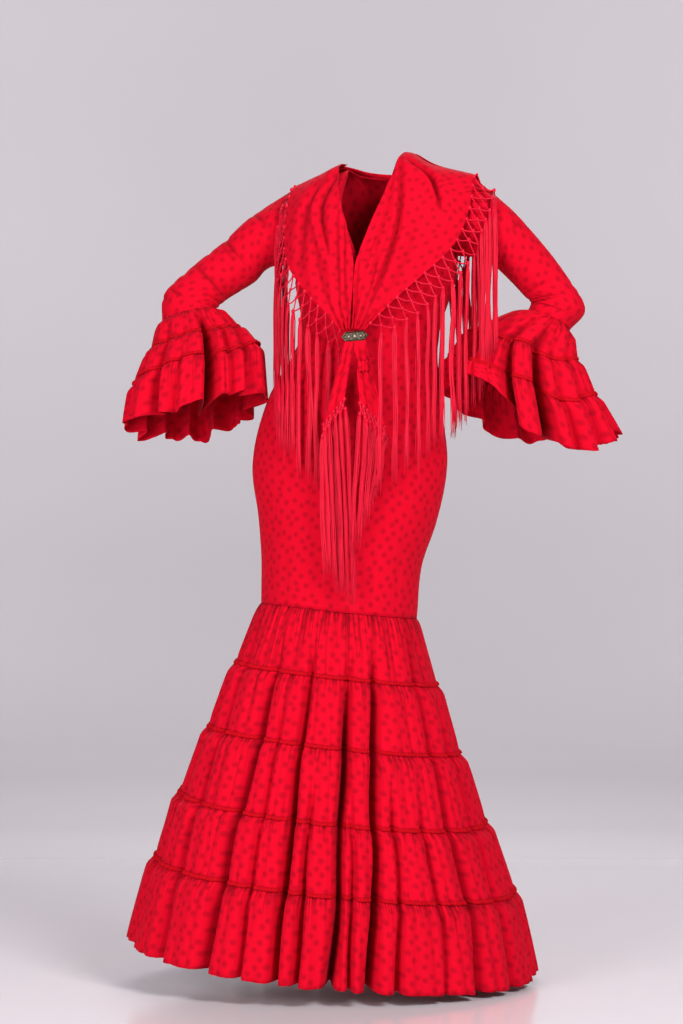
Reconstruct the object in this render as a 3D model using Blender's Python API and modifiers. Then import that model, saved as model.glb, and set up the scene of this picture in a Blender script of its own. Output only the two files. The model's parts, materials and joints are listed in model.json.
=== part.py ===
"""Flamenco dress with its matching fringed shawl, worn form, as thin cloth solids.

Metres, +Z up.  The origin is the middle of the shoulder line, where the wearer holds the
dress up; the front faces -Y and the wearer's right side is at -X.  Every cloth piece is an
open surface worked out from the tables below and given its wall by a Solidify modifier.
"""
import math
from collections import namedtuple

import bmesh
import bpy
import numpy as np

# ---------------------------------------------------------------- driving sizes
WALL = 0.0020            # thickness of a cloth wall
SEAM = 0.0007            # space between the outer faces of two pieces at a seam
TIER_DROP = 0.0008       # how far a skirt tier starts under its seam, measured down the cloth
RUFFLE_DROP = 0.0014     # the same on the sleeves, whose cloth turns more at a seam
HALF_SEAM = SEAM / 2
TIER_COLUMNS = 80        # columns round a skirt tier
RUFFLE_COLUMNS = 36      # columns round a sleeve ruffle
ARMHOLE_COLUMNS = 7      # columns along the front or the back half of an armhole
SHOULDER_COLUMNS = 3     # columns along one shoulder seam
NECK_COLUMNS = 4         # columns along half a neckline
SKIRT_GATHERS = 20       # gathers round one skirt tier
RUFFLE_GATHERS = 12      # gathers round one sleeve ruffle
GATHER_HEIGHT = 0.0030   # how far a gather stands proud of its tier
TIER_PUFF = 0.0035       # how far a tier bellies out under its seam
BRAID_HALF_HEIGHT = 0.0030
BRAID_PROUD = 0.0050
BRAID_CLEAR = 0.0008
SLEEVE_BRAID_CLEAR = 0.0019
SHOULDER_HEIGHT = 0.039  # height of the shoulder line if it ran on to the middle
SHOULDER_SLOPE = 0.26    # how much the shoulder line falls for each metre outwards
SHOULDER_TIP = 0.175
ARMPIT_HEIGHT = -0.152
NECK_HALF_WIDTH = 0.060
PUSH_TOP = -0.060        # above this level nothing is moved outwards off the body
PUSH_FADE = 0.060
ARMHOLE_GAP = 0.0025     # how far a sleeve starts outside its armhole
SHOULDER_EASE = 0.0014   # how far each panel's top edge stands off the shoulder seam
CHEST_LEVEL = -0.190     # height of the full ring from which the upper columns rise
SEAM_SHARE = 0.3         # how much of a gather is left where it is held by a seam
TIER_BELLY_AT = 0.35     # how far down a tier its belly lies
RUFFLE_BELLY_AT = 0.45

# Armhole from the armpit over the notch and the upper armhole to the shoulder tip: places
# along it, distance from the middle, height above the shoulder line's level, and how far
# its front and its back half bow from the side seam.
ARMHOLE_PLACES = (0.0, 0.32, 0.68, 1.0)
ARMHOLE_ACROSS = (0.149, 0.145, 0.154, SHOULDER_TIP)
ARMHOLE_HEIGHTS = (ARMPIT_HEIGHT, -0.108, -0.045,
                   SHOULDER_HEIGHT - SHOULDER_SLOPE * SHOULDER_TIP)
ARMHOLE_FRONT_BOW = (0.000, 0.046, 0.040, 0.000)
ARMHOLE_BACK_BOW = (0.000, 0.044, 0.040, 0.000)
# Neckline below its end on the shoulder seam: across, forward and height, to the middle.
FRONT_NECK = ((0.050, 0.085, -0.055), (0.0, 0.129, -0.158))
BACK_NECK = ((0.042, -0.034, 0.012), (0.0, -0.046, 0.006))
# Curves of the columns above the chest: how far up its climb a column stays upright, how
# far below the edge it turns in, and how much of its way in and across is left there.
UPRIGHT_SHARE = 0.45
TURN_IN_SHARE = 0.10
ACROSS_LEFT = 0.50
DEPTH_LEFT = 0.80

Section = namedtuple("Section", "z x y half_width front back turn roll")
# One row for each level of the fitted body, from the knee seam up to the neck.
BODY = (
    Section(-0.807, -0.058, 0.000, 0.146, 0.128, 0.128, 0.0, -6.0),
    Section(-0.713, -0.053, 0.000, 0.151, 0.128, 0.138, 1.0, -3.0),
    Section(-0.638, -0.042, 0.000, 0.167, 0.130, 0.152, 3.0, -1.0),
    Section(-0.535, -0.038, 0.000, 0.183, 0.128, 0.163, 5.0, 0.0),
    Section(-0.413, -0.030, 0.000, 0.163, 0.117, 0.136, 8.0, 0.0),
    Section(-0.291, 0.000, 0.000, 0.131, 0.106, 0.088, 14.0, 0.0),
    Section(-0.190, 0.012, 0.000, 0.154, 0.134, 0.096, 17.0, 1.5),
    Section(-0.100, 0.018, 0.000, 0.170, 0.120, 0.098, 17.0, 3.0),
    Section(0.000, 0.020, 0.000, 0.180, 0.070, 0.070, 17.0, 3.0),
    Section(0.060, 0.012, 0.000, 0.180, 0.070, 0.070, 17.0, 3.0),
)

Ring = namedtuple("Ring", "x y z half_width half_depth roll front_drop flute")
# One row for each seam of the skirt: knee seam, four braided seams and the hem.
SKIRT = (
    Ring(-0.058, 0.000, -0.8070, 0.146, 0.128, -6.0, 0.000, 0.000),
    Ring(-0.063, 0.000, -0.9230, 0.184, 0.168, -6.5, 0.002, 0.005),
    Ring(-0.067, 0.000, -1.0460, 0.227, 0.212, -6.3, 0.004, 0.010),
    Ring(-0.070, 0.000, -1.1700, 0.276, 0.262, -6.0, 0.014, 0.014),
    Ring(-0.066, 0.000, -1.2940, 0.324, 0.308, -5.6, 0.014, 0.017),
    Ring(-0.070, 0.000, -1.4420, 0.373, 0.352, -4.9, 0.026, 0.021),
)

Flute = namedtuple("Flute", "angle half_angle depth")
# The long folds that run down the skirt: where each valley lies, from the front middle
# towards the wearer's left, how wide it is and how deep beside the deepest.
SKIRT_FLUTES = (
    Flute(-162.0, 6.0, 0.8), Flute(-139.5, 7.0, 1.0), Flute(-117.0, 6.0, 0.7),
    Flute(-99.0, 5.0, 0.9), Flute(-76.5, 5.0, 0.6), Flute(-58.5, 6.0, 0.8),
    Flute(-36.0, 6.0, 0.9), Flute(-13.5, 4.5, 0.8), Flute(0.0, 4.5, 1.0),
    Flute(18.0, 5.0, 1.2), Flute(45.0, 7.0, 0.9), Flute(72.0, 6.0, 0.7),
    Flute(94.5, 6.0, 0.8), Flute(112.5, 5.0, 0.7), Flute(135.0, 7.0, 1.0),
    Flute(157.5, 6.0, 0.8), Flute(180.0, 5.0, 0.7),
)

Cuff = namedtuple("Cuff", "x y z half_across half_deep turn tip sag")
# Sleeve sections from the upper arm to the seam under the elbow.  "turn" is the direction
# of the outer side seen from the front, "tip" lifts the front of the section and "sag"
# lets its front and back hang lower than its two ends.
RIGHT_SLEEVE = (
    Cuff(-0.206, 0.060, -0.112, 0.051, 0.054, 112.0, 4.0, 0.0),
    Cuff(-0.248, 0.062, -0.150, 0.048, 0.050, 128.0, 4.0, 0.0),
    Cuff(-0.300, 0.060, -0.187, 0.045, 0.047, 134.0, 4.0, 0.0),
    Cuff(-0.339, 0.056, -0.224, 0.051, 0.049, 163.0, 6.0, 0.0),
    Cuff(-0.342, 0.050, -0.2520, 0.0525, 0.050, 194.0, 8.0, 0.0),
)
LEFT_SLEEVE = (
    Cuff(0.236, -0.060, -0.096, 0.062, 0.053, 68.0, 0.0, 0.0),
    Cuff(0.281, -0.052, -0.141, 0.052, 0.050, 50.0, 0.0, 0.0),
    Cuff(0.326, -0.042, -0.196, 0.046, 0.047, 33.0, 2.0, 0.0),
    Cuff(0.350, -0.034, -0.238, 0.051, 0.050, -6.0, 4.0, 0.0),
    Cuff(0.342, -0.032, -0.264, 0.051, 0.050, -27.0, 6.0, 0.0),
)
# Seams of the three ruffles that hang from each sleeve, and their hem.
RIGHT_RUFFLES = (
    Cuff(-0.342, 0.050, -0.2520, 0.0525, 0.050, 194.0, 8.0, 0.000),
    Cuff(-0.330, 0.036, -0.298, 0.081, 0.072, 195.0, 12.0, 0.004),
    Cuff(-0.326, 0.018, -0.346, 0.113, 0.096, 198.0, 15.0, 0.010),
    Cuff(-0.330, 0.000, -0.440, 0.126, 0.112, 193.0, 17.0, 0.018),
)
LEFT_RUFFLES = (
    Cuff(0.342, -0.032, -0.2636, 0.051, 0.050, -27.0, 6.0, 0.000),
    Cuff(0.287, -0.034, -0.311, 0.102, 0.074, -14.0, 6.0, 0.010),
    Cuff(0.287, -0.036, -0.365, 0.136, 0.096, -14.0, 7.0, 0.022),
    Cuff(0.304, -0.038, -0.440, 0.164, 0.112, -14.0, 8.0, 0.036),
)
# The long folds down each sleeve's ruffles, counted from the outer side towards the front.
RUFFLE_FLUTES = (
    Flute(20.0, 12.0, 0.7), Flute(70.0, 12.0, 0.9), Flute(110.0, 10.0, 1.3),
    Flute(160.0, 12.0, 0.8), Flute(210.0, 14.0, 1.0), Flute(260.0, 14.0, 0.9),
    Flute(310.0, 14.0, 1.0),
)
RUFFLE_FLUTE_DEPTHS = (0.000, 0.005, 0.009, 0.013)
RUFFLE_HELD = (0.105, 0.67175, 0.35)   # share of a gather's height at seam, belly and edge

# ---------------------------------------------------------------- shawl sizes
SHAWL_RISE = 0.0060      # how much higher over the dress it stands at the neck
SHAWL_REST = 0.0023      # height of its shoulder line over the dress's where it rests
SHAWL_EASE = 0.0009      # half the space between its front and back at the shoulder line
SHAWL_HALF_WIDTH = 0.202
SHAWL_FRONT = 0.147
SHAWL_BACK = 0.120
SHAWL_ROUND = 2.6        # how squarely it closes over the shoulder; 2 is an ellipse
SHAWL_CHEST = -0.165     # level where the shawl is fullest
CLASP_PLACE = (-0.0290, -0.1420, -0.3010)
CLASP_LENGTH = 0.050
CLASP_WIDTH = 0.017
CLASP_POINT = 0.008
CLASP_THICKNESS = 0.005
SHAWL_ROWS = 11
BARE_ROWS = 2            # rows at the top of the shoulder whose edge carries no fringe

EdgePoint = namedtuple("EdgePoint", "along inner inner_z outer outer_z")
# The folded shawl, one row for each step from the shoulder line to the clasp: how far from
# the middle its neck edge and its fringed edge lie, and how high.
SHAWL_FRONT_EDGES = (
    EdgePoint(0.00, 0.062, 0.0311, 0.172, -0.0025),
    EdgePoint(0.25, 0.046, -0.0300, 0.172, -0.0750),
    EdgePoint(0.50, 0.020, -0.1050, 0.154, -0.1500),
    EdgePoint(0.70, 0.002, -0.1700, 0.108, -0.2050),
    EdgePoint(0.88, 0.002, -0.2450, 0.054, -0.2570),
    EdgePoint(1.00, 0.002, -0.2880, 0.022, -0.2900),
)
BackPoint = namedtuple("BackPoint", "across top bottom")
# The back triangle, from the middle outwards: its neck and shoulder line and its lower edge.
SHAWL_BACK_EDGES = (
    BackPoint(0.000, 0.0170, -0.3850),
    BackPoint(0.045, 0.0230, -0.2950),
    BackPoint(0.070, 0.0288, -0.2450),
    BackPoint(0.125, 0.0124, -0.1350),
    BackPoint(0.172, -0.0025, -0.0400),
)

SHAWL_CLEAR = 0.009      # least distance of the shawl from the dress
CLASP_TURN = (90.0, -4.0, -14.0)
Tail = namedtuple("Tail", "top_x top_half low_x low_half low_z clear")
# The two ends of the shawl that hang under the clasp, pushed off the dress from TAIL_Y.
TAIL_Y = -0.100
TAILS = (
    Tail(-0.0400, 0.0050, -0.0640, 0.0175, -0.462, 0.028),
    Tail(-0.0200, 0.0080, 0.0010, 0.0200, -0.464, 0.024),
)

# ---------------------------------------------------------------- fringe sizes
NET_DROP = 0.040         # height of the knotted diamonds
NET_OUT = 0.6            # how much the net runs on off the cloth, beside its fall
NET_FALL = 0.8
STRAND_LENGTH = 0.280
TAIL_STRAND_LENGTH = 0.290
STRAND_HALF_WIDTH = 0.0042
CORD_WIDTH = 0.0030
STRIP_HEIGHT = 0.0040    # height of the strip that holds the net
EDGE_GAP = 0.0008        # space between the cloth's edge and the strip
FRINGE_WALL = 0.0020
FRINGE_CLEAR = 0.0150    # how far a strand hangs off the dress
SLEEVE_LEAN = 0.030      # how far the strands over a sleeve are held off by it
LEAN_FROM = -0.200       # knots above this level hang over a sleeve
LEAN_FADE = 0.060
LEAN_WAY = (0.3, 0.95, 0.0)
FRONT_FROM = 0.060       # knots in front of this place lean to the front, others back
STRAND_BEND_AT = 0.45    # how far down a strand its bend lies
SHORTEST_STRAND = 0.050
OVER_SLEEVE = 0.110      # strands further than this from the middle hang over a sleeve
SLEEVE_FLOOR = -0.262    # level where those strands end


# ---------------------------------------------------------------- general helpers
def clear_scene():
    """Remove what the scene holds already."""
    for thing in list(bpy.data.objects):
        bpy.data.objects.remove(thing)


def make_material(name, colour, roughness, metallic=0.0):
    """Give a plain Principled material."""
    material = bpy.data.materials.new(name)
    material.use_nodes = True
    shader = material.node_tree.nodes["Principled BSDF"]
    shader.inputs["Base Color"].default_value = (*colour, 1.0)
    shader.inputs["Roughness"].default_value = roughness
    shader.inputs["Metallic"].default_value = metallic
    return material


def make_collection(name):
    """Give a collection linked to the scene."""
    collection = bpy.data.collections.new(name)
    bpy.context.scene.collection.children.link(collection)
    return collection


def spline(values, places, at):
    """Read a smooth curve (Catmull-Rom) through values known at rising places."""
    places = np.asarray(places, float)
    values = np.asarray(values, float)
    at = np.clip(np.asarray(at, float), places[0], places[-1])
    slopes = np.gradient(values, places, axis=0)
    step = np.clip(np.searchsorted(places, at, side="right") - 1, 0, len(places) - 2)
    width = places[step + 1] - places[step]
    share = (at - places[step]) / width
    spare = (1,) * (values.ndim - 1)
    width = width.reshape(width.shape + spare)
    share = share.reshape(share.shape + spare)
    rise = share * share * (3 - 2 * share)
    return (values[step] * (1 - rise) + values[step + 1] * rise
            + slopes[step] * width * share * (1 - share) ** 2
            - slopes[step + 1] * width * share * share * (1 - share))


def body_columns(z):
    """Read every column of the BODY table at the heights z."""
    table = np.array(BODY)
    return spline(table, table[:, 0], z)


def to_world(across, forward, z):
    """Place points given in the body's own frame, which turns as it rises."""
    across, forward, z = np.broadcast_arrays(across, forward, z)
    level = body_columns(z)
    turn = np.radians(level[..., 6])
    x = level[..., 1] + across * np.cos(turn) - forward * np.sin(turn)
    y = level[..., 2] - across * np.sin(turn) - forward * np.cos(turn)
    lift = across * np.tan(np.radians(level[..., 7]))
    return np.stack([x, y, z + lift], axis=-1)


def push_out(points, clear):
    """Move points sideways until they lie outside the dress's body by a clearance."""
    level = body_columns(points[..., 2])
    turn = np.radians(level[..., 6])
    dx = points[..., 0] - level[..., 1]
    dy = points[..., 1] - level[..., 2]
    across = dx * np.cos(turn) - dy * np.sin(turn)
    forward = -dx * np.sin(turn) - dy * np.cos(turn)
    depth = np.where(forward > 0, level[..., 4], level[..., 5])
    reach = np.hypot(across / (level[..., 3] + clear), forward / (depth + clear))
    grow = 1.0 / np.clip(reach, 0.05, 1.0)
    grow = 1.0 + (grow - 1.0) * np.clip((PUSH_TOP - points[..., 2]) / PUSH_FADE, 0, 1)
    across = across * grow
    forward = forward * grow
    x = level[..., 1] + across * np.cos(turn) - forward * np.sin(turn)
    y = level[..., 2] - across * np.sin(turn) - forward * np.cos(turn)
    return np.stack([x, y, points[..., 2]], axis=-1)


def mesh_object(name, points, faces, material, collection):
    """Make a mesh object of points and faces and link it."""
    mesh = bpy.data.meshes.new(name)
    mesh.from_pydata([tuple(map(float, point)) for point in points], [], faces)
    mesh.materials.append(material)
    mesh.shade_smooth()
    mesh.set_sharp_from_angle(angle=math.radians(50))
    mesh.validate()
    thing = bpy.data.objects.new(name, mesh)
    collection.objects.link(thing)
    return thing


def face_outwards(thing):
    """Turn the faces of a closed mesh outwards."""
    work = bmesh.new()
    work.from_mesh(thing.data)
    bmesh.ops.recalc_face_normals(work, faces=work.faces)
    work.to_mesh(thing.data)
    work.free()


def add_wall(thing, thickness):
    """Give an open surface its wall, on the side away from its normals."""
    wall = thing.modifiers.new("wall", "SOLIDIFY")
    wall.thickness = thickness
    wall.offset = -1.0
    wall.use_even_offset = False
    return thing


def grid_faces(rows, columns, closed, flipped=False):
    """Give the quads of a grid; a closed grid joins its last column to its first."""
    faces = []
    spans = columns if closed else columns - 1
    for row in range(rows - 1):
        for column in range(spans):
            after = (column + 1) % columns
            quad = [row * columns + column, row * columns + after,
                    (row + 1) * columns + after, (row + 1) * columns + column]
            faces.append(quad[::-1] if flipped else quad)
    return faces


def cloth(name, grid, material, collection, closed=False, flipped=False, thickness=WALL):
    """Make a cloth piece of a grid of points (rows, columns, 3)."""
    rows, columns = grid.shape[:2]
    thing = mesh_object(name, grid.reshape(-1, 3),
                        grid_faces(rows, columns, closed, flipped), material, collection)
    return add_wall(thing, thickness)


def unit(vectors):
    """Scale vectors to a length of one."""
    return vectors / np.linalg.norm(vectors, axis=-1, keepdims=True)


def start_lower(rows, drop):
    """Move the first row of a gathered piece down its own cloth, clear of its seam."""
    rows = np.array(rows)
    rows[0] += unit(rows[1] - rows[0]) * drop
    return rows


# ---------------------------------------------------------------- fitted body
def armhole_half(side):
    """Armhole from the armpit to the shoulder tip, in the body's frame.

    side is +1 for the front half and -1 for the back half.  A smooth curve runs through
    the armpit, the notch, the upper armhole and the tip of the shoulder.
    """
    bow = ARMHOLE_FRONT_BOW if side > 0 else ARMHOLE_BACK_BOW
    knots = np.array([ARMHOLE_ACROSS, np.array(bow) * side, ARMHOLE_HEIGHTS]).T
    share = np.linspace(0, 1, ARMHOLE_COLUMNS + 1)
    return spline(knots, ARMHOLE_PLACES, share)


def top_edge_half(side):
    """Top edge of a body panel from the armpit over the shoulder to the middle."""
    armhole = armhole_half(side)
    share = np.linspace(0, 1, SHOULDER_COLUMNS + 1)[1:]
    across = SHOULDER_TIP + (NECK_HALF_WIDTH - SHOULDER_TIP) * share
    shoulder = np.stack([across, np.zeros_like(across),
                         SHOULDER_HEIGHT - SHOULDER_SLOPE * across], axis=-1)
    share = np.linspace(0, 1, NECK_COLUMNS + 1)[1:]
    line = FRONT_NECK if side > 0 else BACK_NECK
    knots = np.array([shoulder[-1], *line])
    neck = spline(knots, (0.0, 0.5, 1.0), share)
    return np.concatenate([armhole, shoulder, neck])


def body_panel(side, rows_below=7, rows_above=4):
    """Grid of the front (+1) or back (-1) panel, from the knee seam to its top edge.

    Below the chest each row is half an ellipse of the BODY table.  Above it every column
    rises on a cubic curve to its own place on the top edge.
    """
    half = top_edge_half(side)
    mirrored = half[-2::-1] * np.array([-1.0, 1.0, 1.0])
    top = np.concatenate([half, mirrored])
    top[:, 1] += side * SHOULDER_EASE
    columns = len(top)
    angle = np.linspace(0, math.pi, columns)
    rows = []
    for z in np.linspace(BODY[0].z, CHEST_LEVEL, rows_below + 1):
        level = body_columns(z)
        depth = level[4] if side > 0 else level[5]
        across = level[3] * np.cos(angle)
        forward = side * (depth * np.sin(angle) + HALF_SEAM)
        rows.append(to_world(across, forward, np.full(columns, z)))
    level = body_columns(CHEST_LEVEL)
    depth = level[4] if side > 0 else level[5]
    start = np.stack([level[3] * np.cos(angle), side * (depth * np.sin(angle) + HALF_SEAM),
                      np.full(columns, CHEST_LEVEL)], axis=-1)
    climb = (top[:, 2] - start[:, 2])[:, None] * np.array([0.0, 0.0, 1.0])
    first = start + UPRIGHT_SHARE * climb
    second = top - TURN_IN_SHARE * climb
    second[:, 0] += ACROSS_LEFT * (start[:, 0] - top[:, 0])
    second[:, 1] = top[:, 1] + DEPTH_LEFT * (start[:, 1] - top[:, 1])
    for share in np.linspace(0, 1, rows_above + 1)[1:]:
        rest = 1 - share
        local = (start * rest ** 3 + first * 3 * rest ** 2 * share
                 + second * 3 * rest * share ** 2 + top * share ** 3)
        rows.append(to_world(local[:, 0], local[:, 1], local[:, 2]))
    return np.array(rows)


# ---------------------------------------------------------------- sleeves
def cuff_ring(cuff, angle, grow=0.0):
    """Points of one sleeve section at the angles, 0 at the outer side, 90 at the front.

    grow widens it.
    """
    turn = math.radians(cuff.turn)
    tip = math.radians(cuff.tip)
    outer = np.array([math.cos(turn), 0.0, math.sin(turn)])
    up = np.array([-math.sin(turn), 0.0, math.cos(turn)])
    if up[2] < 0:
        up = -up
    front = np.array([0.0, -math.cos(tip), 0.0]) + up * math.sin(tip)
    centre = np.array([cuff.x, cuff.y, cuff.z])
    wide = (cuff.half_across + grow) * np.cos(angle)
    deep = (cuff.half_deep + grow) * np.sin(angle)
    points = centre + outer * wide[..., None] + front * deep[..., None]
    points[..., 2] -= cuff.sag * np.sin(angle) ** 2
    return points


def sleeve_grid(hand, sections):
    """Grid of a sleeve: the armhole's own points, then the sections down to the elbow.

    hand is -1 for the wearer's right sleeve and +1 for the left.
    """
    front = armhole_half(1)[::-1]
    back = armhole_half(-1)
    loop = np.concatenate([front, back[1:-1]])
    loop[:, 0] = hand * (loop[:, 0] + ARMHOLE_GAP)
    first = to_world(loop[:, 0], loop[:, 1], loop[:, 2])
    angle = np.linspace(0, 2 * math.pi, len(loop), endpoint=False)
    rings = [first] + [cuff_ring(cuff, angle) for cuff in sections]
    knots = np.arange(len(rings), dtype=float)
    share = np.linspace(0, knots[-1], 11)
    grid = spline(np.array(rings), knots, share)
    grid[0] = first
    return grid


def ruffle_grid(sections, number, flute_depths, phase):
    """Grid of one sleeve ruffle between two of its seams.

    Its middle row bellies out and carries the gathers, and the long folds deepen from
    its upper seam to its lower one.
    """
    angle = np.linspace(0, 2 * math.pi, RUFFLE_COLUMNS, endpoint=False)
    upper, lower = sections[number], sections[number + 1]
    folds = flute_profile(RUFFLE_FLUTES, angle)
    gathers = np.cos(RUFFLE_GATHERS * angle + phase)
    rows = []
    for share, held in ((0.0, RUFFLE_HELD[0]), (RUFFLE_BELLY_AT, RUFFLE_HELD[1]),
                        (1.0, RUFFLE_HELD[2])):
        cuff = Cuff(*(a + (b - a) * share for a, b in zip(upper, lower)))
        flute = flute_depths[number] + (flute_depths[number + 1] - flute_depths[number]) * share
        belly = TIER_PUFF * 4 * share * (1 - share)
        gather = GATHER_HEIGHT * held
        rows.append(cuff_ring(cuff, angle, folds * flute + belly + gather * gathers))
    return start_lower(rows, RUFFLE_DROP)


# ---------------------------------------------------------------- skirt
def flute_profile(flutes, angle):
    """How far the cloth lies in (negative) or out (positive) because of the long folds.

    Each fold is a smooth valley: its depth times a bell of the angle from its middle.
    The mean is taken out, so that the ridges between the valleys stand out.
    """
    degrees = np.degrees(angle)
    profile = np.zeros_like(degrees)
    for flute in flutes:
        apart = (degrees - flute.angle + 180) % 360 - 180
        profile -= flute.depth * np.exp(-(apart / flute.half_angle) ** 2)
    return profile - profile.mean()


def skirt_ring(ring, angle, grow):
    """Points of one skirt ring at the angles from the front middle, grown outwards."""
    across = (ring.half_width + grow) * np.sin(angle)
    forward = (ring.half_depth + grow) * np.cos(angle)
    front = np.sqrt(np.clip(np.cos(angle), 0, 1))
    z = ring.z + across * math.tan(math.radians(ring.roll)) - ring.front_drop * front
    return np.stack([ring.x + across, ring.y - forward, z], axis=-1)


def tier_angles():
    """Angles of the skirt's columns from the front middle."""
    return np.linspace(-math.pi, math.pi, TIER_COLUMNS, endpoint=False)


def seam_gathers(number, angle):
    """Small gathers held by seam number, the same above and below it."""
    return SEAM_SHARE * GATHER_HEIGHT * np.cos(SKIRT_GATHERS * angle + number)


def tier_grid(number):
    """Grid of one skirt tier between two rings: seam, belly and lower edge."""
    angle = tier_angles()
    upper, lower = SKIRT[number], SKIRT[number + 1]
    folds = flute_profile(SKIRT_FLUTES, angle)
    rows = []
    for share in (0.0, TIER_BELLY_AT, 1.0):
        ring = Ring(*(a + (b - a) * share for a, b in zip(upper, lower)))
        if share == 0.0:
            gathers = seam_gathers(number, angle)
        elif share == 1.0:
            gathers = seam_gathers(number + 1, angle)
        else:
            gathers = GATHER_HEIGHT * np.cos(SKIRT_GATHERS * angle + number)
        belly = TIER_PUFF * 4 * share * (1 - share)
        rows.append(skirt_ring(ring, angle, folds * ring.flute + belly + gathers))
    return start_lower(rows, TIER_DROP)


def braid(name, above, below, centre, clear, material, collection):
    """Braid over a seam: a three-sided cord that follows every point of the seam.

    above and below are the grids that meet there.  The cord's flat side lies just off both,
    and its ridge stands out from the seam.
    """
    seam = above[-1]
    outward = seam - centre
    outward[:, 2] = 0.0
    outward = unit(outward)
    climb = unit(above[-2] - above[-1])
    fall = unit(below[1] - below[0])
    corners = [seam + climb * BRAID_HALF_HEIGHT + outward * clear,
               seam + fall * BRAID_HALF_HEIGHT + outward * clear,
               seam + outward * (clear + BRAID_PROUD)]
    columns = len(seam)
    faces = []
    for column in range(columns):
        after = (column + 1) % columns
        for corner in range(3):
            beside = (corner + 1) % 3
            faces.append([corner * columns + column, beside * columns + column,
                          beside * columns + after, corner * columns + after])
    thing = mesh_object(name, np.concatenate(corners), faces, material, collection)
    face_outwards(thing)
    return thing


# ---------------------------------------------------------------- shawl
def shawl_depth(across, z, fullest):
    """How far forward or back the shawl lies at a place across and a height.

    Across it is an ellipse, and above the chest it closes over the shoulder as a quarter
    of an ellipse whose top is the shoulder line.
    """
    wide = fullest * np.sqrt(np.clip(1 - (across / SHAWL_HALF_WIDTH) ** 2, 0.03, 1))
    rise = SHAWL_REST + SHAWL_RISE * np.clip(1 - (across / SHOULDER_TIP) ** 2, 0, 1)
    top = SHOULDER_HEIGHT + rise - SHOULDER_SLOPE * np.abs(across)
    climb = np.clip((z - SHAWL_CHEST) / (top - SHAWL_CHEST), 0, 1)
    return wide * np.clip(1 - climb ** SHAWL_ROUND, 0, 1) ** (1 / SHAWL_ROUND)


def lay_on_shawl(across, z, side):
    """Place points of the shawl's front (+1) or back (-1) at places across and heights."""
    fullest = SHAWL_FRONT if side > 0 else SHAWL_BACK
    forward = side * (shawl_depth(across, z, fullest) + SHAWL_EASE)
    return push_out(to_world(across, forward, z), SHAWL_CLEAR)


def shawl_front_grid(hand, columns=6):
    """Grid of one front side of the shawl, from its neck edge to its fringed edge.

    hand is -1 for the wearer's right side and +1 for the left.
    """
    table = np.array(SHAWL_FRONT_EDGES)
    row = spline(table[:, 1:], table[:, 0], np.linspace(0, 1, SHAWL_ROWS))
    share = np.linspace(0, 1, columns)[None, :]
    across = row[:, 0:1] + (row[:, 2:3] - row[:, 0:1]) * share
    z = row[:, 1:2] + (row[:, 3:4] - row[:, 1:2]) * share
    return lay_on_shawl(hand * across, z, 1)


def shawl_back_grid(rows=7, half_columns=11):
    """Grid of the shawl's back, from its neck and shoulder line to the triangle's edge."""
    table = np.array(SHAWL_BACK_EDGES)
    across = np.linspace(-table[-1, 0], table[-1, 0], 2 * half_columns + 1)
    edges = spline(table[:, 1:], table[:, 0], np.abs(across))
    share = np.linspace(0, 1, rows)[:, None]
    z = edges[None, :, 0] + (edges[None, :, 1] - edges[None, :, 0]) * share
    return lay_on_shawl(np.broadcast_to(across, z.shape), z, -1)


def clasp_underside(x):
    """Points just under the clasp's lower side at the places x."""
    along = np.asarray(x) - CLASP_PLACE[0]
    lean = math.tan(math.radians(CLASP_TURN[2]))
    rise = math.tan(math.radians(-CLASP_TURN[1]))
    y = CLASP_PLACE[1] + along * lean
    z = CLASP_PLACE[2] + along * rise - CLASP_WIDTH / 2 - SEAM
    return np.stack([x, y, z], axis=-1)


def tail_grid(tail):
    """Grid of one tail: from just under the clasp to its low edge in the TAILS table."""
    share = np.linspace(0, 1, 4)[:, None]
    side = np.linspace(-1, 1, 4)[None, :]
    top = clasp_underside(tail.top_x + tail.top_half * side[0])
    low_x = tail.low_x + tail.low_half * side[0]
    low = np.stack([low_x, np.full_like(low_x, TAIL_Y), np.full_like(low_x, tail.low_z)],
                   axis=-1)
    low = push_out(low, tail.clear)
    return top[None] + (low - top)[None] * share[..., None]


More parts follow.
